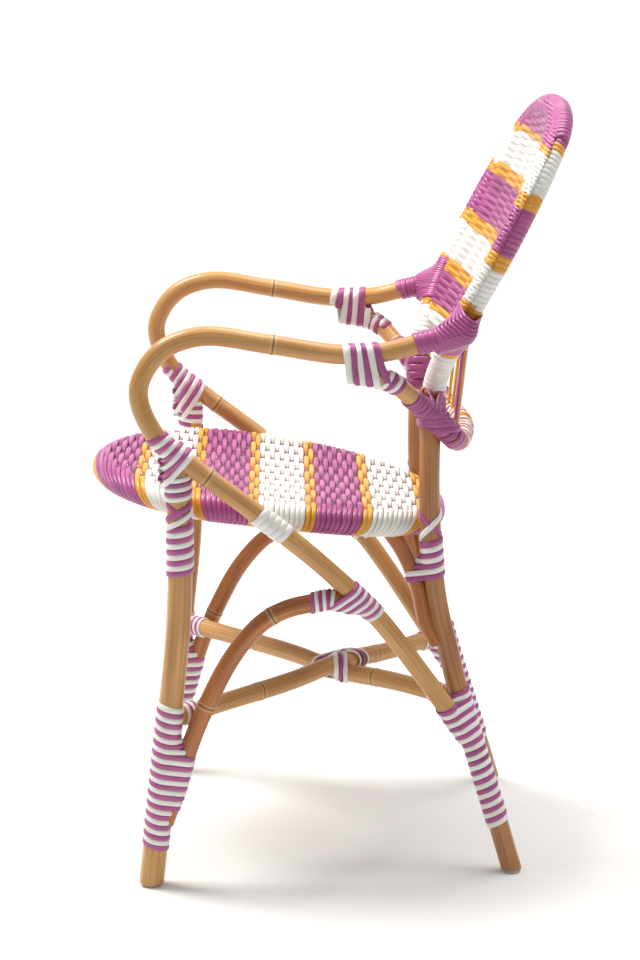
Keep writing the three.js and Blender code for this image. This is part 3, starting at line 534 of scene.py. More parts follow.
def rim_line(count=960):
    """The middle line of the seat's rim seen from above, with its outward directions.

    The outline is an egg of two half superellipses; the line lies inside it by the rim's
    outer radius.
    """
    angle = np.linspace(0, 2 * np.pi, count, endpoint=False) + np.pi / 2
    rear = np.sin(angle) >= 0
    power = 2 / np.where(rear, REAR_POWER, FRONT_POWER)
    x = HALF_WIDTH * np.sign(np.cos(angle)) * np.abs(np.cos(angle)) ** power
    y = np.where(rear, REAR_REACH, -FRONT_REACH) * np.abs(np.sin(angle)) ** power
    line = np.stack([x, y, np.zeros(count)], axis=-1)
    line = resampled(np.vstack([line, line[:1]]), count + 1)[:-1]
    along = unit(np.roll(line, -1, axis=0) - np.roll(line, 1, axis=0))
    out = np.stack([along[:, 1], -along[:, 0], np.zeros(count)], axis=-1)
    out *= np.sign((out * line).sum(axis=1).mean())
    middle = line - out * RIM_OUTER
    middle[:, 1] += SEAT_LINE
    return middle[:, :2], out[:, :2], along[:, :2]


RIM_MIDDLE, RIM_OUT, RIM_ALONG = rim_line()


def on_seat(x, y, lift=0.0):
    """Points and outward directions of the seat's skin at places of a flat sheet.

    Inside the rim's middle line the sheet lies on the seat's top and sags a little. Beyond
    it the sheet rolls round the rim: its distance from the line becomes an angle.
    """
    flat = np.stack([x, y], axis=-1)
    nearest = ((flat[..., None, :] - RIM_MIDDLE) ** 2).sum(axis=-1).argmin(axis=-1)
    base, out, along = RIM_MIDDLE[nearest], RIM_OUT[nearest], RIM_ALONG[nearest]
    off = flat - base
    base = base + along * (off * along).sum(axis=-1, keepdims=True)
    far = ((flat - base) * out).sum(axis=-1)
    angle = np.maximum(far, 0) / RIM
    inside = np.clip(-far / SAG_REACH, 0, 1)
    sag = SAG * inside * inside * (3 - 2 * inside)
    rolled = far > 0
    normal = np.concatenate([out * np.sin(angle)[..., None], np.cos(angle)[..., None]], axis=-1)
    middle = np.concatenate([base, (seat_top(base[..., 1]) - RIM_OUTER)[..., None]], axis=-1)
    sheet = np.stack([x, y, seat_top(y) - sag - RIM_OUTER + RIM], axis=-1)
    points = np.where(rolled[..., None], middle + normal * RIM, sheet)
    return points + normal * np.asarray(lift)[..., None], normal


# The seat's rows are counted from this line
SEAT_START = -215.3 * MM
YELLOW_ROWS, BROAD_ROWS = 2, 9


def seat_colour(number):
    """Colour of a row: two yellow, nine white, two yellow, nine purple, and again."""
    stripe, place = np.divmod(number, YELLOW_ROWS + BROAD_ROWS)
    return np.where(place < YELLOW_ROWS, "yellow", np.where(stripe % 2, "purple", "white"))


# The woven back

# How the back leans, in radians, with the directions behind it and up it
PANEL_LEAN = 0.4853
PANEL_OUT = np.array([0, np.cos(PANEL_LEAN), -np.sin(PANEL_LEAN)])
PANEL_UP = np.array([0, np.sin(PANEL_LEAN), np.cos(PANEL_LEAN)])
X_AXIS = np.array([1.0, 0, 0])
# Height of its foot, how far its rows reach round the hoop and on what radius they lie there
BACK_FOOT, ROUND_HOOP, HOOP_FRONT = 612, 17 * MM, 13.8 * MM
# How far it bows backwards, and how it comes forward to the hoop: share of the hoop's radius at
# the middle, and the distance over which that grows to the whole
BOW, MIDDLE_SHARE, FORWARD_OVER = 32 * MM, 0.35, 40 * MM
# Points on a row, room above the last row, the length over which the weave dies away towards
# the hoop, and how strongly painted shade darkens its dips
BACK_POINTS, TOP_MARGIN, BACK_WOVEN_OVER, BACK_DIP_SHADE = 181, 2 * MM, 12 * MM, 0.32
# How thick its strands are beside the seat's, and their width: on the hoop and what a rib adds
BACK_THICKNESS, BACK_WIDTH, BACK_RIB_MORE = 0.75, 1.06, 0.2
# Rings on the hoop, from the joint up: colour and where each ends, as the hoop's height
HOOP_BANDS = [
    ("yellow", 575),
    ("white", 621),
    ("yellow", 629),
    ("purple", 665),
    ("yellow", 678),
    ("white", 720),
    ("yellow", 734),
    ("purple", 783),
    ("yellow", 796),
    ("white", 838),
    ("yellow", 847),
    ("purple", 853),
]


# Materials


# The tones of each finish: the light one, the dark one, and a third: for a cane the dark line at a growth
# mark, for a strand the painted shade where it dips under a rib
TONES = {
    "honey": ("D6A262", "A87438", "4A2C12"),
    "brown": ("BE8450", "8A5630", "40240F"),
    "red": ("C67C40", "8A4C24", "3C200E"),
    "purple": ("C0629A", "96407A", "4C163C"),
    "white": ("F4F2EC", "E3E1DA", "A39C96"),
    "yellow": ("ECAE44", "D9921F", "8A5210"),
}
# The pale edge of a growth mark, the glides and the floor
MARK_EDGE, GLIDE, FLOOR = "E8C58A", "DCDCD6", "EDEDEC"


def linear(code):
    """A colour written as six hex digits, as linear light."""
    value = np.array([int(code[i : i + 2], 16) for i in (0, 2, 4)]) / 255
    light = np.where(value <= 0.04045, value / 12.92, ((value + 0.055) / 1.055) ** 2.4)
    return (*light.tolist(), 1.0)


def tones(look, finish):
    """The three tones of a finish: the light one is set in the panel, and the others follow it.

    tone = light tone set * own tone in TONES / light tone in TONES.
    """
    own = np.array([linear(code) for code in TONES[finish]])
    return [tuple(tone) for tone in np.array(getattr(look, finish)) * own / own[0]]


class Wire:
    """A value in a shader; arithmetic on it adds nodes."""

    def __init__(self, graph, socket):
        self.graph, self.socket = graph, socket

    def math(self, operation, *others):
        node = self.graph.node("ShaderNodeMath", {"operation": operation}, [self, *others])
        return Wire(self.graph, node.outputs[0])

    def __add__(self, other):
        return self.math("ADD", other)

    def __sub__(self, other):
        return self.math("SUBTRACT", other)

    def __mul__(self, other):
        return self.math("MULTIPLY", other)

    __radd__ = __add__
    __rmul__ = __mul__

    def __rsub__(self, other):
        return (self * -1) + other

    def between(self, low, high):
        """Runs smoothly from 0 to 1 as this value goes from low to high."""
        settings = {"interpolation_type": "SMOOTHSTEP"}
        sockets = {"Value": self, "From Min": low, "From Max": high}
        node = self.graph.node("ShaderNodeMapRange", settings, sockets)
        return Wire(self.graph, node.outputs["Result"])


class Graph:
    """A material whose nodes are made one by one."""

    def __init__(self, name):
        self.material = bpy.data.materials.new(name)
        self.material.use_nodes = True
        self.tree = self.material.node_tree
        self.surface = self.tree.nodes["Principled BSDF"]

    def node(self, kind, settings=None, sockets=None):
        """Adds a node, sets its settings, then its sockets by name or in order."""
        node = self.tree.nodes.new(kind)
        for key, value in (settings or {}).items():
            setattr(node, key, value)
        pairs = enumerate(sockets) if isinstance(sockets, list) else (sockets or {}).items()
        for key, value in pairs:
            self.plug(node.inputs[key], value)
        return node

    def plug(self, socket, value):
        """Links a wire to a socket, or sets the socket's own value."""
        if isinstance(value, Wire):
            self.tree.links.new(value.socket, socket)
        else:
            socket.default_value = value

    def stored(self, name):
        """A number stored on each point of the mesh."""
        node = self.node("ShaderNodeAttribute", {"attribute_name": name})
        return Wire(self, node.outputs["Fac"])

    def uv(self):
        """The place round a piece and the distance along it."""
        node = self.node("ShaderNodeUVMap", {"uv_map": "UVMap"})
        split = self.node("ShaderNodeSeparateXYZ", None, [Wire(self, node.outputs[0])])
        return Wire(self, split.outputs[0]), Wire(self, split.outputs[1])

    def noise(self, x, y, z=0.0, detail=2.0):
        """Soft noise at a place given by three values."""
        place = self.node("ShaderNodeCombineXYZ", None, [x, y, z])
        sockets = {"Vector": Wire(self, place.outputs[0]), "Scale": 1.0, "Detail": detail}
        node = self.node("ShaderNodeTexNoise", None, sockets)
        return Wire(self, node.outputs["Fac"])

    def mix(self, share, low, high):
        """A colour between two others."""
        settings = {"data_type": "RGBA"}
        node = self.node("ShaderNodeMix", settings, {"Factor": share})
        self.plug(node.inputs[6], low)
        self.plug(node.inputs[7], high)
        return Wire(self, node.outputs[2])

    def bump(self, height, distance):
        """A surface direction tilted by a height."""
        node = self.node("ShaderNodeBump", None, {"Height": height, "Distance": distance})
        return Wire(self, node.outputs[0])

    def finish(self, colour, roughness, coat=0.0, normal=None):
        """Sets the surface and returns the material."""
        self.plug(self.surface.inputs["Base Color"], colour)
        self.plug(self.surface.inputs["Roughness"], roughness)
        self.plug(self.surface.inputs["Coat Weight"], coat)
        if normal:
            self.plug(self.surface.inputs["Normal"], normal)
        return self.material


def cane_material(name, light, dark, scar):
    """Varnished cane: fine streaks along it, slow changes of tone, a dark line at each mark."""
    g = Graph(name)
    u, v = g.uv()
    streak = g.noise(u * 26, v * 5.0).between(0.35, 0.7)
    patch = g.noise(u * 2.2, v * 9.0, 4.0).between(0.3, 0.75)
    colour = g.mix(streak * 0.45 + patch * 0.45, light, dark)
    away = g.stored("mark").math("ABSOLUTE")
    line = 1 - away.between(0.5 * MM, 1.6 * MM)
    pale = (1 - away.between(2 * MM, 5 * MM)) * 0.35
    colour = g.mix(pale, colour, linear(MARK_EDGE))
    colour = g.mix(line * 0.75, colour, scar)
    normal = g.bump(streak * 0.5 + patch, 0.25 * MM)
    return g.finish(colour, streak * 0.12 + 0.34, 0.25, normal)


def strand_material(name, light, dark, under):
    """Smooth glossy strand: each has its own tone, and painted shade darkens it where it dips under a rib.
    """
    g = Graph(name)
    u, v = g.uv()
    drift = g.noise(u * 1.5, v * 22.0, g.stored("mark") * 40)
    tone = g.stored("mark") * 0.4 + drift.between(0.25, 0.75) * 0.6
    colour = g.mix(tone, light, dark)
    # Painted shade: the deep value darkens the strand towards its third tone where it passes under a rib
    colour = g.mix(g.stored("deep") * 0.8, colour, under)
    return g.finish(colour, 0.36, 0.1)


def plain_material(name, code, roughness):
    """One even colour."""
    return Graph(name).finish(linear(code), roughness)


FINISHES = {}


def finishes():
    """The materials, made once."""
    look = bpy.context.scene.chair_look
    if not FINISHES:
        for finish in ("honey", "brown", "red"):
            FINISHES[finish] = cane_material(f"{finish}_cane", *tones(look, finish))
        for finish in ("purple", "white", "yellow"):
            FINISHES[finish] = strand_material(f"{finish}_strand", *tones(look, finish))
        FINISHES["glide"] = plain_material("glide", GLIDE, 0.5)
    return FINISHES


def on_both_sides(skin, name, colour, nodes=()):
    """Makes a piece for the +X side and its mirror image, each standing for its CAD nodes."""
    for hand, mirror in (("left", False), ("right", True)):
        skin.make(f"{name}_{hand}", colour, [f"{node}_{hand}" for node in nodes], mirror)


# What each group of pieces is


def routes():
    """The path of every cane, as points at equal distances, and the +X halves of two of them."""
    lines = {"back": whole(BACK_HALF, BACK_MIDDLE), "arm": ARM, "leg": LEG}
    lines.update(rail=whole(RAIL_HALF, RAIL_MIDDLE), arch=ARCH, knee=KNEE, cross=CROSS_LEFT)
    paths = {name: even(line, POINTS[name]) for name, line in lines.items()}
    paths["side"] = paths["back"][: POINTS["back"] // 2]
    paths["side_rail"] = paths["rail"][: POINTS["rail"] // 2]
    return paths


# How far each crossed cane bends out of the other's way, and over what length
BEND, BEND_LENGTH = 6 * MM, 60 * MM


def bent(path, way):
    """The crossed cane bent up or down where it passes the other: bend * exp(-(away / length)^2)."""
    run = run_of(path)
    away = run - run[np.abs(path[:, 0]).argmin()]
    path = path.copy()
    path[:, HEIGHT] += way * BEND * np.exp(-((away / BEND_LENGTH) ** 2))
    return path


def rim_ring():
    """The middle line of the rim in space, just under the seat's top."""
    return np.column_stack([RIM_MIDDLE, seat_top(RIM_MIDDLE[:, 1]) - RIM_OUTER])


def make_canes(look):
    """Builds the canes."""
    paths, sides = routes(), look.cane_sides
    for name, (towards, marks, finish, node) in CANES.items():
        skin = cane(paths[name], RADII[name], towards, sides, marks)
        if name in ("back", "rail"):
            skin.make(f"{name}_cane", finish, [node])
        else:
            on_both_sides(skin, f"{name}_cane", finish, [node])
    for hand, way, mirror in (("left", 1, False), ("right", -1, True)):
        path = bent(paths["cross"], way)
        skin = cane(path, RADII["cross"], (0, 0, 1), sides, CROSS_MARKS)
        skin.make(f"cross_cane_{hand}", "honey", [f"stretcher_{hand}_front"], mirror)
    ring = rim_ring()
    skin = cane(np.vstack([ring, ring[:1]])[::8], RING_RADIUS, (0, 0, 1), sides, ())
    skin.make("seat_ring_cane", "honey", ["seat_ring"])


# How much longer a woven strand lies over the ribs than under them, and how abruptly it changes
OVER_SHARE, CHANGE = 0.4, 2.4


def over_and_under(x, rib_pitch, number):
    """How high a woven strand stands over the ribs, -1 to 1, and how full it is, 0 to 1.

    wave = cos(pi x / pitch), turned over in every second row, plus the over share;
    height = tanh(change * wave), fullness = sqrt(wave / its greatest value).
    """
    turned = np.where(number % 2, 1.0, -1.0)[:, None]
    wave = np.cos(np.pi * x / rib_pitch) * turned + OVER_SHARE
    return np.tanh(CHANGE * wave), np.sqrt(np.clip(wave / (1 + OVER_SHARE), 0, 1))


def weave(name, colours, points, normals, width, height, tone, deep, node, more=None):
    """Makes the woven strands of each colour one piece; the purple one stands for the CAD node."""
    for colour in ("purple", "white", "yellow"):
        own = colours == colour
        skin = Skin()
        strands(skin, points[own], normals[own], width[own], height[own], tone[own], deep[own])
        if more:
            more(skin, colour)
        skin.make(f"{name}_{colour}", colour, [node] if colour == "purple" else ())


# The seat's strands: points on each, how far the outermost keep from the ends of the seat, as
# shares of the pitch, and how far they drift. Their weave dies away over the rim, from inside
# its middle line to beyond it
SEAT_POINTS, END_SHARE, DRIFT = 241, 0.3, 0.3 * MM
WOVEN_BEYOND, WOVEN_OVER = 4 * MM, 10 * MM
# Their width as shares of the pitch: on the rim, what the weave takes off and what a rib adds
RIM_WIDTH, WOVEN_LESS, RIB_MORE, RIB_RISE = 1.02, 0.16, 0.30, 0.8 * MM
# The ribs: how many on each side of the middle one, and their section
SIDE_RIBS, RIB_POINTS, RIB_DEPTH, RIB_WIDTH, RIB_HEIGHT = 4, 90, -0.4 * MM, 7 * MM, 1.2 * MM


def make_seat(look):
    """Weaves the seat: strands from side to side over and under ribs that run front to rear."""
    pitch = look.row_pitch
    edge = RIM_MIDDLE + RIM_OUT * look.rim_turn * RIM
    ends = (np.array([edge[:, 1].min(), edge[:, 1].max()]) - SEAT_START) / pitch + 0.5
    number = np.arange(int(np.ceil(ends[0] + END_SHARE)), int(ends[1] - END_SHARE) + 1)
    rows = SEAT_START + pitch * (number - 0.5)
    right = edge[edge[:, 0] > 0]
    order = right[:, 1].argsort()
    half = np.interp(rows, right[order, 1], right[order, 0])
    x = half[:, None] * np.linspace(-1, 1, SEAT_POINTS)
    y = np.broadcast_to(rows[:, None], x.shape)
    fade = np.clip((inside_rim(x, y) + WOVEN_BEYOND) / WOVEN_OVER, 0, 1)
    over, full = over_and_under(x, look.rib_pitch, number)
    width = pitch * (RIM_WIDTH + fade * (RIB_MORE * full - WOVEN_LESS))
    height = look.strand_height + RIB_RISE * full * fade
    random = np.random.default_rng(4)
    tone = random.uniform(0, 1, len(rows))
    y = y + random.uniform(-DRIFT, DRIFT, len(rows))[:, None]
    points, normals = on_seat(x, y, look.weave_depth * over * fade)
    # Painted shade: a strand is darkened where it dips under a rib, as far as the weave reaches
    deep = fade * (1 - over) / 2
    colours = seat_colour(number)
    weave("seat_strands", colours, points, normals, width, height, tone, deep, "seat_weave")
    ribs = Skin()
    for place in np.arange(-SIDE_RIBS, SIDE_RIBS + 1) * look.rib_pitch:
        inner = RIM_MIDDLE[np.abs(RIM_MIDDLE[:, 0] - place) < 1.5 * MM]
        y = np.linspace(inner[:, 1].min(), inner[:, 1].max(), RIB_POINTS)
        line, normal = on_seat(np.full_like(y, place), y, np.full_like(y, RIB_DEPTH))
        # The ribs lie under the strands, and painted shade darkens them
        strands(ribs, line[None], normal[None], RIB_WIDTH, RIB_HEIGHT, 0.9, 0.6)
    ribs.make("seat_ribs", "purple")


def inside_rim(x, y):
    """How far places of the flat sheet lie inside the rim's middle line."""
    flat, line, out = np.stack([x, y], axis=-1), RIM_MIDDLE[::6], RIM_OUT[::6]
    nearest = ((flat[..., None, :] - line) ** 2).sum(axis=-1).argmin(axis=-1)
    return -((flat - line[nearest]) * out[nearest]).sum(axis=-1)


def hoop_at(path, height):
    """The hoop's place on the +X side at a height in millimetres, above the joint."""
    half = path[: len(path) // 2 + 1, HEIGHT]
    start = int(np.abs(half - 500 * MM).argmin())
    return start + int(np.abs(half[start:] - height * MM).argmin())


def in_space(flat, deep):
    """Points or directions given on the back's flat sheet, and by how deep behind it they are."""
    return flat[..., :1] * X_AXIS + flat[..., 1:] * PANEL_UP + deep[..., None] * PANEL_OUT


def hoop_line(path):
    """The hoop from foot to foot of the back: in space, on the flat sheet, and outwards there."""
    upper = path[hoop_at(path, BACK_FOOT) : len(path) // 2 + 1]
    line = np.vstack([upper, mirrored(upper[:-1])[::-1]])
    flat = np.stack([line[:, 0], line @ PANEL_UP], axis=-1)
    along = unit(np.gradient(flat, axis=0))
    return line, flat, np.stack([along[:, 1], -along[:, 0]], axis=-1)


def on_back(x, rows, half, line, flat, out):
    """Points and outward directions of the back at places of a flat sheet, and how far out they are.

    Inside the hoop the sheet bows backwards by bow * (1 - up^3) * (1 - (x / half)^2), and comes
    forward near the hoop. Past the hoop's line it rolls round the hoop: far becomes an angle.
    """
    place = np.stack([x, np.broadcast_to(rows[:, None], x.shape)], axis=-1)
    nearest = ((place[..., None, :] - flat) ** 2).sum(axis=-1).argmin(axis=-1)
    base, away = flat[nearest], out[nearest]
    far = ((place - base) * away).sum(axis=-1)
    angle = np.maximum(far, 0) / HOOP_FRONT
    normals = in_space(away * np.sin(angle)[..., None], -np.cos(angle))
    rolled = in_space(base, (line @ PANEL_OUT)[nearest]) + normals * HOOP_FRONT
    up = (rows - rows[0])[:, None] / (rows[-1] - rows[0])
    bow = BOW * (1 - up**3) * (1 - np.minimum(np.abs(x / half), 1) ** 2)
    near = np.exp(-((far / FORWARD_OVER) ** 2))
    forward = HOOP_FRONT * (MIDDLE_SHARE + (1 - MIDDLE_SHARE) * near)
    side = slice(len(line) // 2 + 1)
    deep = np.interp(rows, flat[side, 1], line[side] @ PANEL_OUT)[:, None]
    sheet = in_space(place, deep + bow - forward)
    return np.where((far > 0)[..., None], rolled, sheet), normals, far


def make_back(look):
    """Weaves the back between the hoop's sides and winds the hoop."""
    paths, pitch = routes(), look.back_pitch
    path = paths["back"]
    line, flat, out = hoop_line(path)
    edge = flat + out * ROUND_HOOP
    side = slice(len(line) // 2 + 1)
    rows = np.arange(flat[0, 1], edge[:, 1].max() - TOP_MARGIN, pitch)
    half = np.interp(rows, edge[side, 1], edge[side, 0])[:, None]
    x = half * np.linspace(-1, 1, BACK_POINTS)
    points, normals, far = on_back(x, rows, half, line, flat, out)
    over, full = over_and_under(x, look.rib_pitch, np.arange(len(rows)))
    fade = np.clip(-far / BACK_WOVEN_OVER, 0, 1)
    points = points + normals * (look.back_depth * over * fade)[..., None]
    width = pitch * (BACK_WIDTH + BACK_RIB_MORE * full * fade)
    height = np.full(len(rows), look.strand_height * BACK_THICKNESS)[:, None]
    names = np.array([name for name, _ in HOOP_BANDS])
    tops = [top * MM for _, top in HOOP_BANDS[:-1]]
    colours = names[np.searchsorted(tops, np.interp(rows, flat[side, 1], line[side, HEIGHT]))]
    tone = np.random.default_rng(7).uniform(0, 1, len(rows))
    # Painted shade on the back's strands where they dip under a rib
    deep = (1 - over) * fade * BACK_DIP_SHADE

    def hoop(skin, colour):
        for flip in (False, True):
            wind_hoop(skin, path, colour, look, flip)
        if colour == "purple":
            wind_crown(skin, path)

    weave("back_strands", colours, points, normals, width, height, tone, deep, "back_weave", hoop)
    make_stakes(path[hoop_at(path, BACK_FOOT)], paths["rail"])


# The hoop's winding starts at the joint, and its turns are wider than they lie apart
HOOP_START, HOOP_WIDTH, HOOP_THICKNESS = 567, 1.2, 1.4 * MM


def wind_hoop(skin, path, colour, look, flip):
    """Winds the bands of one colour round one side of the hoop."""
    wrap = Wrap(path[::-1] if flip else path, RADII["back"], towards=(0, 1, 0))
    first = low = wrap.run[hoop_at(path, HOOP_START)]
    hand = -1 if flip else 1
    pitch = look.strand_width
    for name, height in HOOP_BANDS:
        high = wrap.run[hoop_at(path, height)]
        if name == colour:
            turn, seed = hand * abs(low - first) / pitch, height + flip
            wrap.wind(skin, (low, high), pitch, turn, pitch * HOOP_WIDTH, hand, seed, 0, HOOP_THICKNESS)
        low = high


# The crown's winding: strands side by side, what one turn covers and where it starts
CROWN_STRANDS, CROWN_PITCH, CROWN_START, CROWN_WIDTH = 8, 50 * MM, 849, 6.8 * MM


def wind_crown(skin, path):
    """Winds long strands side by side round the top of the hoop and what lies on it."""
    above = stretch(path + PANEL_UP * 2 * MM, HEIGHT, 800, 1000)
    wrap = Wrap(path, RADII["back"], [(above, RADII["back"])], towards=(0, 1, 0))
    low = wrap.run[hoop_at(path, CROWN_START)]
    ends = (low, wrap.run[-1] - low)
    for number in range(CROWN_STRANDS):
        phase = number / CROWN_STRANDS
        wrap.wind(skin, ends, CROWN_PITCH, phase, CROWN_WIDTH, seed=number, height=2.2 * MM)


# The stakes: their colours from the sitter's right, where the outermost stand, their section,
# how far they stand behind the weave, the share that it hides of them, and how far their feet
# lie from the rail's middle line
STAKES = ["white", "yellow", "yellow", "purple", "purple", "yellow", "white", "yellow", "purple"]
STAKE_REACH, STAKE_WIDTH, STAKE_HEIGHT = 92 * MM, 8.5 * MM, 3 * MM
BEHIND, HIDDEN_SHARE = 8 * MM, 0.12
ON_RAIL = np.array([0, -6, 8]) * MM


def make_stakes(foot, rail):
    """Stakes that run from the woven back's foot down to the rail behind the legs."""
    skins = {colour: Skin() for colour in STAKES}
    for colour, x in zip(STAKES, np.linspace(-STAKE_REACH, STAKE_REACH, len(STAKES))):
        bow = BOW * (1 - (x / foot[0]) ** 2) + BEHIND
        high = np.array([x, *foot[1:]]) + PANEL_OUT * bow
        low = rail[np.abs(rail[:, 0] - x).argmin()] + ON_RAIL
        line = np.linspace(high + (high - low) * HIDDEN_SHARE, low, 30)
        normal = np.broadcast_to(-PANEL_OUT, line.shape)
        strands(skins[colour], line[None], normal[None], STAKE_WIDTH, STAKE_HEIGHT, 0.4)
    for colour, skin in skins.items():
        skin.make(f"stakes_{colour}", colour)


# The widest strand of a binding, and the width of one that crosses a leg
WIDEST, CROSSING_WIDTH = 9 * MM, 6.6 * MM


def bound(name, wrap, ends, pitch, colours, nodes=(), hand=-1, lift=0.0, spread=1.14):
    """Winds strands side by side round a joint, on both sides of the chair.

    Each strand makes whole turns, from the side that faces the other half of the chair, and
    is spread times as wide as its share of the pitch.
    """
    way = np.sign(ends[1] - ends[0])
    share = 1 / len(colours)
    width = min(pitch * share * spread, WIDEST)
    for number, colour in enumerate(colours):
        start = ends[0] + way * pitch * ((number + 0.5) * share - 0.5)
        end = start + way * pitch * max(round(abs(ends[1] - start) / pitch), 1)
        skin = Skin()
        wrap.wind(skin, (start, end), pitch, 0.5, width, hand, number + len(name), lift)
        on_both_sides(skin, f"{name}_{colour}", colour, nodes if number == 0 else ())


def wound(name, wrap, path, look, colours, nodes=(), **more):
    """Winds a joint where WINDINGS has it."""
    axis, low, high, pitch, *between = WINDINGS[name]
    ends = part_of(path, axis, low, high, *between)
    bound(name, wrap, ends, pitch * MM * look.wrap_spacing, colours, nodes, **more)


def crossed(name, wrap, path, colour):
    """Winds one strand half round a leg, over the side that faces away from the chair."""
    low, high, lift = CROSSINGS[name]
    ends = part_of(path, HEIGHT, low, high)
    skin = Skin()
    pitch = 2 * abs(ends[1] - ends[0])
    wrap.wind(skin, ends, pitch, -0.25, CROSSING_WIDTH, seed=3, lift=lift * MM)
    on_both_sides(skin, name, colour)


def banded(name, wrap, start, bands, pitch=4.6 * MM):
    """Winds bands of one colour after another along a cane, on both sides of the chair."""
    skins = {colour: Skin() for colour, _ in bands}
    first = start
    for number, (colour, length) in enumerate(bands):
        ends = (start, start + length * MM)
        wrap.wind(skins[colour], ends, pitch, (start - first) / pitch, pitch * 1.15, seed=number)
        start = ends[1]
    for colour, skin in skins.items():
        on_both_sides(skin, f"{name}_{colour}", colour)


def both_nodes(joint):
    """The two CAD nodes of a joint's winding."""
    return [f"{joint}_binding", f"{joint}_strand"]


def bind_front(look, paths):
    """Winds the joints of the front leg."""
    arm, leg, arch = paths["arm"], paths["leg"], paths["arch"]
    wrap = Wrap(arm, RADII["arm"], [(leg, RADII["leg"] + 1.5)], 55 * MM)
    wound("front_joint", wrap, arm, look, STRIPED, both_nodes("front_joint"))
    wrap = Wrap(leg, RADII["leg"])
    wound("front_collar", wrap, leg, look, STRIPED[::-1])
    wound("front_upper", wrap, leg, look, STRIPED, both_nodes("front_upper"))
    crossed("front_rising", wrap, leg, "purple")
    crossed("front_low_rising", wrap, leg, "white")
    crossed("front_falling", wrap, leg, "purple")
    foot = stretch(arch, HEIGHT, 98, 156)
    wrap = Wrap(leg, RADII["leg"], [(foot, RADII["arch"] - 1)])
    own = both_nodes("front_shin") + both_nodes("front_foot")
    wound("front_lower", wrap, leg, look, STRIPED[::-1], own, hand=1)


def bind_rear(look, paths):
    """Winds the joints of the rear leg."""
    arm, side = paths["arm"], paths["side"]
    foot = stretch(paths["knee"], HEIGHT, 0, 352)
    wrap = Wrap(side, RADII["back"], [(foot, RADII["knee"])])
    wound("rear_upper", wrap, side, look, STRIPED, both_nodes("rear_upper"))
    crossed("rear_rising", wrap, side, "white")
    crossed("rear_falling", wrap, side, "purple")
    tail = stretch(arm, HEIGHT, 0, 191)
    wrap = Wrap(side, RADII["back"], [(tail, RADII["arm"])])
    wound("rear_lower", wrap, side, look, STRIPED, both_nodes("rear_lower"))
    wound("brace_end", Wrap(arm, RADII["arm"]), arm, look, STRIPED)


def bind_arm(look, paths):
    """Winds the joints of the arm, the strut under it and the arch."""
    arm, arch, rail = paths["arm"], paths["arch"], paths["side_rail"]
    wrap = Wrap(arm, RADII["arm"], [(stretch(rail, DEPTH, 0, 64), RADII["rail"])])
    wound("arm_strut", wrap, arm, look, STRIPED[::-1], both_nodes("arm_strut"))
    wound("strut", Wrap(rail, RADII["rail"]), rail, look, STRIPED[::-1])
    wound("arch", Wrap(arch, RADII["arch"]), arch, look, STRIPED)
    wrap = Wrap(arm, RADII["arm"], [(stretch(arch, DEPTH, 0, 100), RADII["arch"])], 50 * MM)
    wound("arch_top", wrap, arm, look, STRIPED, both_nodes("arch_top"))


# Bands of the rail behind the legs: colour and length in millimetres
RAIL_BANDS = [("yellow", 9), ("white", 5), ("purple", 9), ("white", 9)] * 4
RAIL_BAND = sum(length for _, length in RAIL_BANDS) / len(RAIL_BANDS) * MM


def bind_back(look, paths):
    """Winds the joints of the back, the rail behind the legs and the tie at the seat's rim."""
    arm, side, rail = paths["arm"], paths["side"], paths["side_rail"]
    plain = Wrap(rail, RADII["rail"])
    wound("rail_ring", plain, rail, look, PURPLE)
    near = stretch(side, HEIGHT, 540, 568)
    wrap = Wrap(rail, RADII["rail"], [(near, RADII["back"])], 34 * MM, (0, 0, 1), fall=2.0)
    wound("back_joint", wrap, rail, look, PURPLE, ["back_joint_binding"], lift=0.8 * MM)
    wrap = Wrap(side, RADII["back"], [(rail, RADII["rail"])], 30 * MM)
    wound("joint_side", wrap, side, look, PURPLE, lift=1.6 * MM)
    start = part_of(rail, DEPTH, 150, 151)[0]
    banded("rail_band", plain, start, RAIL_BANDS[: int((plain.run[-1] - start) / RAIL_BAND)])
    wound("arm_ring", Wrap(arm, RADII["arm"]), arm, look, PURPLE)
    wound("side_ring", Wrap(side, RADII["back"]), side, look, PURPLE)
    tip = stretch(stretch(arm, HEIGHT, 600, 700), DEPTH, 124, 150)
    wrap = Wrap(side, RADII["back"], [(tip, RADII["arm"])], 40 * MM, fall=0.8)
    wound("arm_end", wrap, side, look, PURPLE, ["arm_end_binding"], lift=1.4 * MM, spread=1.9)
    rim = stretch(stretch(rim_ring(), 0, 100, 200), DEPTH, -92, -32)
    wrap = Wrap(arm, RADII["arm"], [(rim, 9)], 32 * MM)
    wound("seat_tie", wrap, arm, look, ("white",), ["seat_tie"])


# The crossed canes' ends: where each winding lies from the cane's front and rear end; its pitch
CROSS_FRONT, CROSS_REAR, CROSS_PITCH = (22, 41), (46, 27), 8
# Half the length of the straight line that a tie round the crossing follows
TIE_LINE = 30


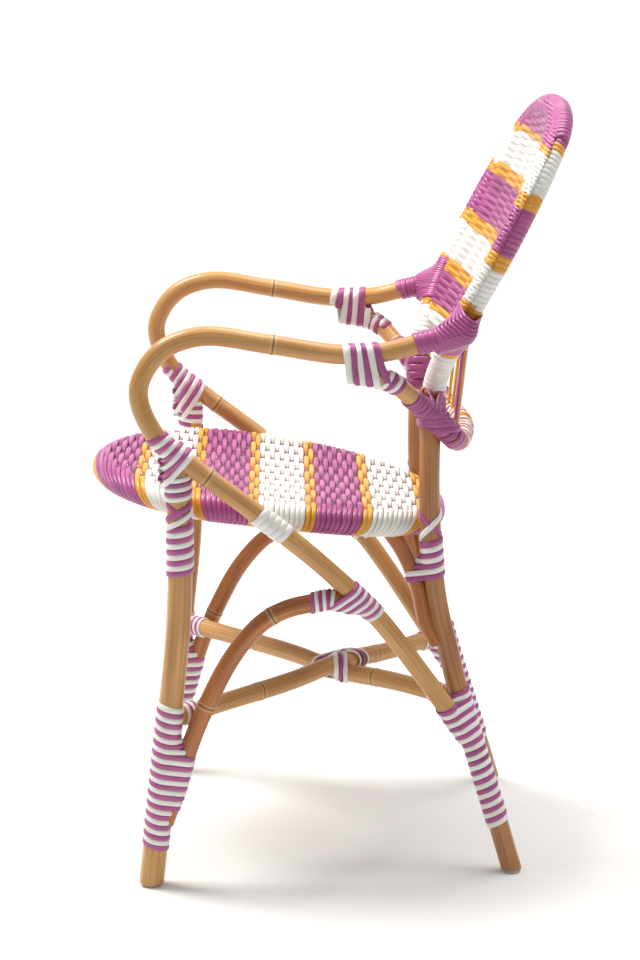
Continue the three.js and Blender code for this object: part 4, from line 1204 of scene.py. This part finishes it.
def bind_cross(look, paths):
    """Winds the ends and the middle of the crossed canes."""
    cross, other = bent(paths["cross"], 1), mirrored(bent(paths["cross"], -1))
    wrap, radius = Wrap(cross, RADII["cross"], towards=(0, 0, 1)), RADII["cross"]
    pitch = CROSS_PITCH * MM * look.wrap_spacing
    bound("cross_front", wrap, [end * MM for end in CROSS_FRONT], pitch, STRIPED[::-1])
    ends = [wrap.run[-1] - end * MM for end in CROSS_REAR]
    bound("cross_rear", wrap, ends, pitch, STRIPED[::-1])
    middle = cross[np.abs(cross[:, 0]).argmin()]
    middle[HEIGHT] = (middle[HEIGHT] + other[np.abs(other[:, 0]).argmin(), HEIGHT]) / 2
    for name, (way, ends) in TIES.items():
        reach = np.array(way) * TIE_LINE * MM
        line = np.linspace(middle - reach, middle + reach, 49)
        wrap = Wrap(line, radius, [(cross, radius), (other, radius)], 40 * MM, (0, 0, 1))
        skins = {"white": Skin(), "purple": Skin()}
        low, high = ((TIE_LINE + end) * MM for end in ends)
        third = (high - low) / 3
        for number, colour in enumerate(("white", "purple", "white")):
            own = (low + number * third, low + (number + 1) * third)
            wrap.wind(skins[colour], own, third, width=third * 1.1, seed=number, lift=0.5 * MM)
        for colour, skin in skins.items():
            stands = colour == "purple" and name == "centre_tie"
            skin.make(f"{name}_{colour}", colour, [name] if stands else ())


def make_bindings(look):
    """Winds the joints."""
    paths = routes()
    for work in (bind_front, bind_rear, bind_arm, bind_back, bind_cross):
        work(look, paths)


# CAD nodes that show as they are, and their finish
KEPT = {
    "seat_rail_front": "honey",
    "seat_rail_rear": "honey",
    "front_glide_left": "glide",
    "front_glide_right": "glide",
    "rear_glide_left": "glide",
    "rear_glide_right": "glide",
}


def finish_kept():
    """Gives the glides and the rails under the seat their material."""
    for node, finish in KEPT.items():
        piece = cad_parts[node]
        piece.data.materials.clear()
        piece.data.materials.append(finishes()[finish])


# The stage: the floor's front edge, where its backdrop starts to rise, the radius of that bend,
# its top and half its width; and the lamps with their place, size and share of the key's power
FLOOR_FRONT, FLOOR_BACK, FLOOR_BEND, BACKDROP_TOP, FLOOR_SIDE = 6, -1.6, 1.2, 7, 7
LAMPS = {"key": ((-0.4, -1.5, 3.0), 1.2, 1.0), "top": ((-0.4, 0.9, 2.8), 2.0, 0.6)}
LAMP_COLOUR, SKY_COLOUR = (1.0, 0.98, 0.94), (0.93, 0.96, 1.0, 1.0)
LIT_PLACE = np.array([0, 0, 0.45])
# The camera's place, how far it looks down and aside, and its lens in millimetres
CAMERA, LENS_LENGTH, SENSOR = (2.9341, -0.0540, 1.117), 94.17, 36
CAMERA_DOWN, CAMERA_ASIDE = np.radians(13.06), 0.0161


def make_stage(look):
    """Lays the floor, hangs the lamps and places the camera."""
    make_floor()
    world = bpy.data.worlds.new("studio")
    world.use_nodes = True
    background = world.node_tree.nodes["Background"]
    background.inputs["Color"].default_value = SKY_COLOUR
    background.inputs["Strength"].default_value = look.sky
    scene = bpy.context.scene
    scene.world = world
    for name, (place, size, share) in LAMPS.items():
        lamp = bpy.data.lights.new(name, "AREA")
        lamp.size, lamp.energy, lamp.color = size, look.key * share, LAMP_COLOUR
        hang(name, lamp, place, LIT_PLACE - place)
    camera = bpy.data.cameras.new("camera")
    camera.lens = LENS_LENGTH
    camera.sensor_width = SENSOR
    flat = np.cos(CAMERA_DOWN)
    aim = (-np.cos(CAMERA_ASIDE) * flat, np.sin(CAMERA_ASIDE) * flat, -np.sin(CAMERA_DOWN))
    scene.camera = hang("camera", camera, CAMERA, aim)
    scene.view_settings.view_transform = "Standard"


def make_floor():
    """A floor that rises into a backdrop: a flat, a quarter of a circle and an upright."""
    turn = np.linspace(0, np.pi / 2, 24)
    bend = [FLOOR_BACK - FLOOR_BEND * np.sin(turn), FLOOR_BEND - FLOOR_BEND * np.cos(turn)]
    ends = [(FLOOR_FRONT, 0)], [(FLOOR_BACK - FLOOR_BEND, BACKDROP_TOP)]
    profile = np.vstack([ends[0], np.column_stack(bend), ends[1]])
    count = len(profile)
    grid = np.zeros((2, count, 3))
    grid[..., 0], grid[..., 2] = profile[:, 0], profile[:, 1]
    grid[..., 1] = [[-FLOOR_SIDE], [FLOOR_SIDE]]
    near = np.arange(count - 1)
    faces = np.column_stack([near, near + 1, near + 1 + count, near + count])
    mesh = bpy.data.meshes.new("floor")
    mesh.from_pydata(grid.reshape(-1, 3).tolist(), [], faces.tolist())
    mesh.polygons.foreach_set("use_smooth", np.ones(len(faces), bool))
    mesh.materials.append(plain_material("floor", FLOOR, 0.9))
    floor = bpy.data.objects.new("floor", mesh)
    bpy.context.scene.collection.objects.link(floor)


def hang(name, data, place, aim):
    """Puts a lamp or camera at a place, turned along a direction with its top up."""
    item = bpy.data.objects.new(name, data)
    item.location = place
    item.rotation_euler = Vector(aim).to_track_quat("-Z", "Y").to_euler()
    bpy.context.scene.collection.objects.link(item)
    return item


# The add-on


def light_tone(finish, name, description):
    """A colour in the panel that starts as the light tone of a finish."""
    return bpy.props.FloatVectorProperty(
        name=name, description=description, default=linear(TONES[finish][0]), size=4, subtype="COLOR"
    )


class ChairLook(bpy.types.PropertyGroup):
    """Sizes of the weave, colours and strengths of the light."""

    strand_width: bpy.props.FloatProperty(
        name="Strand width", description="Width of one strand", default=0.006, unit="LENGTH"
    )
    strand_height: bpy.props.FloatProperty(
        name="Strand height", description="Height of a strand's rounded top", default=0.002, unit="LENGTH"
    )
    row_pitch: bpy.props.FloatProperty(
        name="Row pitch", description="Distance between seat strands", default=0.00593, unit="LENGTH"
    )
    rib_pitch: bpy.props.FloatProperty(
        name="Rib pitch", description="Distance between the ribs in the weave", default=0.036, unit="LENGTH"
    )
    weave_depth: bpy.props.FloatProperty(
        name="Weave depth",
        description="Rise and fall of a seat strand over the ribs",
        default=0.002,
        unit="LENGTH",
    )
    back_pitch: bpy.props.FloatProperty(
        name="Back pitch", description="Distance between strands of the back", default=0.0042, unit="LENGTH"
    )
    back_depth: bpy.props.FloatProperty(
        name="Back depth", description="Rise and fall of a back strand", default=0.0011, unit="LENGTH"
    )
    wrap_spacing: bpy.props.FloatProperty(
        name="Wrap spacing",
        description="How far apart the turns of the joints lie, as a share of their own distances",
        default=1.0,
        subtype="FACTOR",
    )
    rim_turn: bpy.props.FloatProperty(
        name="Rim turn", description="How far strands roll round the rim", default=3.5, subtype="ANGLE"
    )
    cane_sides: bpy.props.IntProperty(
        name="Cane sides", description="Number of points round a cane", default=24
    )
    honey: light_tone("honey", "Honey cane", "Light tone of most canes")
    brown: light_tone("brown", "Brown cane", "Light tone of the back's cane")
    red: light_tone("red", "Red cane", "Light tone of the arches and knee braces")
    purple: light_tone("purple", "Purple strand", "Light tone of the purple strands")
    white: light_tone("white", "White strand", "Light tone of the white strands")
    yellow: light_tone("yellow", "Yellow strand", "Light tone of the yellow strands")
    sky: bpy.props.FloatProperty(
        name="Sky", description="Strength of the light from all round", default=0.36
    )
    key: bpy.props.FloatProperty(
        name="Key", description="Power of the main lamp", default=104.0, unit="POWER"
    )


class CHAIR_OT_canes(bpy.types.Operator):
    """Build the bent canes"""

    bl_idname = "chair.canes"
    bl_label = "Canes"

    def execute(self, context):
        make_canes(context.scene.chair_look)
        return {"FINISHED"}


class CHAIR_OT_seat(bpy.types.Operator):
    """Weave the seat"""

    bl_idname = "chair.seat"
    bl_label = "Seat"

    def execute(self, context):
        make_seat(context.scene.chair_look)
        return {"FINISHED"}


class CHAIR_OT_back(bpy.types.Operator):
    """Weave the back and wind the hoop"""

    bl_idname = "chair.back"
    bl_label = "Back"

    def execute(self, context):
        make_back(context.scene.chair_look)
        return {"FINISHED"}


class CHAIR_OT_bindings(bpy.types.Operator):
    """Wind the joints"""

    bl_idname = "chair.bindings"
    bl_label = "Bindings"

    def execute(self, context):
        make_bindings(context.scene.chair_look)
        return {"FINISHED"}


class CHAIR_OT_glides(bpy.types.Operator):
    """Finish the glides and the rails under the seat"""

    bl_idname = "chair.glides"
    bl_label = "Glides"

    def execute(self, context):
        finish_kept()
        return {"FINISHED"}


class CHAIR_OT_stage(bpy.types.Operator):
    """Lay the floor, hang the lamps and place the camera"""

    bl_idname = "chair.stage"
    bl_label = "Stage"

    def execute(self, context):
        make_stage(context.scene.chair_look)
        return {"FINISHED"}


class CHAIR_PT_look(bpy.types.Panel):
    """Sizes, colours and light, and a button for each group of pieces"""

    bl_idname = "CHAIR_PT_look"
    bl_label = "Rattan chair"
    bl_space_type = "VIEW_3D"
    bl_region_type = "UI"
    bl_category = "Chair"

    def draw(self, context):
        look = context.scene.chair_look
        for name in ChairLook.__annotations__:
            self.layout.prop(look, name)
        for kind in STEPS:
            self.layout.operator(kind.bl_idname)


STEPS = (CHAIR_OT_canes, CHAIR_OT_seat, CHAIR_OT_back, CHAIR_OT_bindings, CHAIR_OT_glides, CHAIR_OT_stage)
CLASSES = (ChairLook, *STEPS, CHAIR_PT_look)


def register():
    """Adds the classes and the chair's settings."""
    for kind in CLASSES:
        bpy.utils.register_class(kind)
    bpy.types.Scene.chair_look = bpy.props.PointerProperty(type=ChairLook)


def unregister():
    """Takes them away again."""
    del bpy.types.Scene.chair_look
    for kind in reversed(CLASSES):
        bpy.utils.unregister_class(kind)


def main():
    """Runs every step in order."""
    register()
    for kind in STEPS:
        group, name = kind.bl_idname.split(".")
        getattr(getattr(bpy.ops, group), name)()
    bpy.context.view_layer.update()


if __name__ == "__main__":
    main()
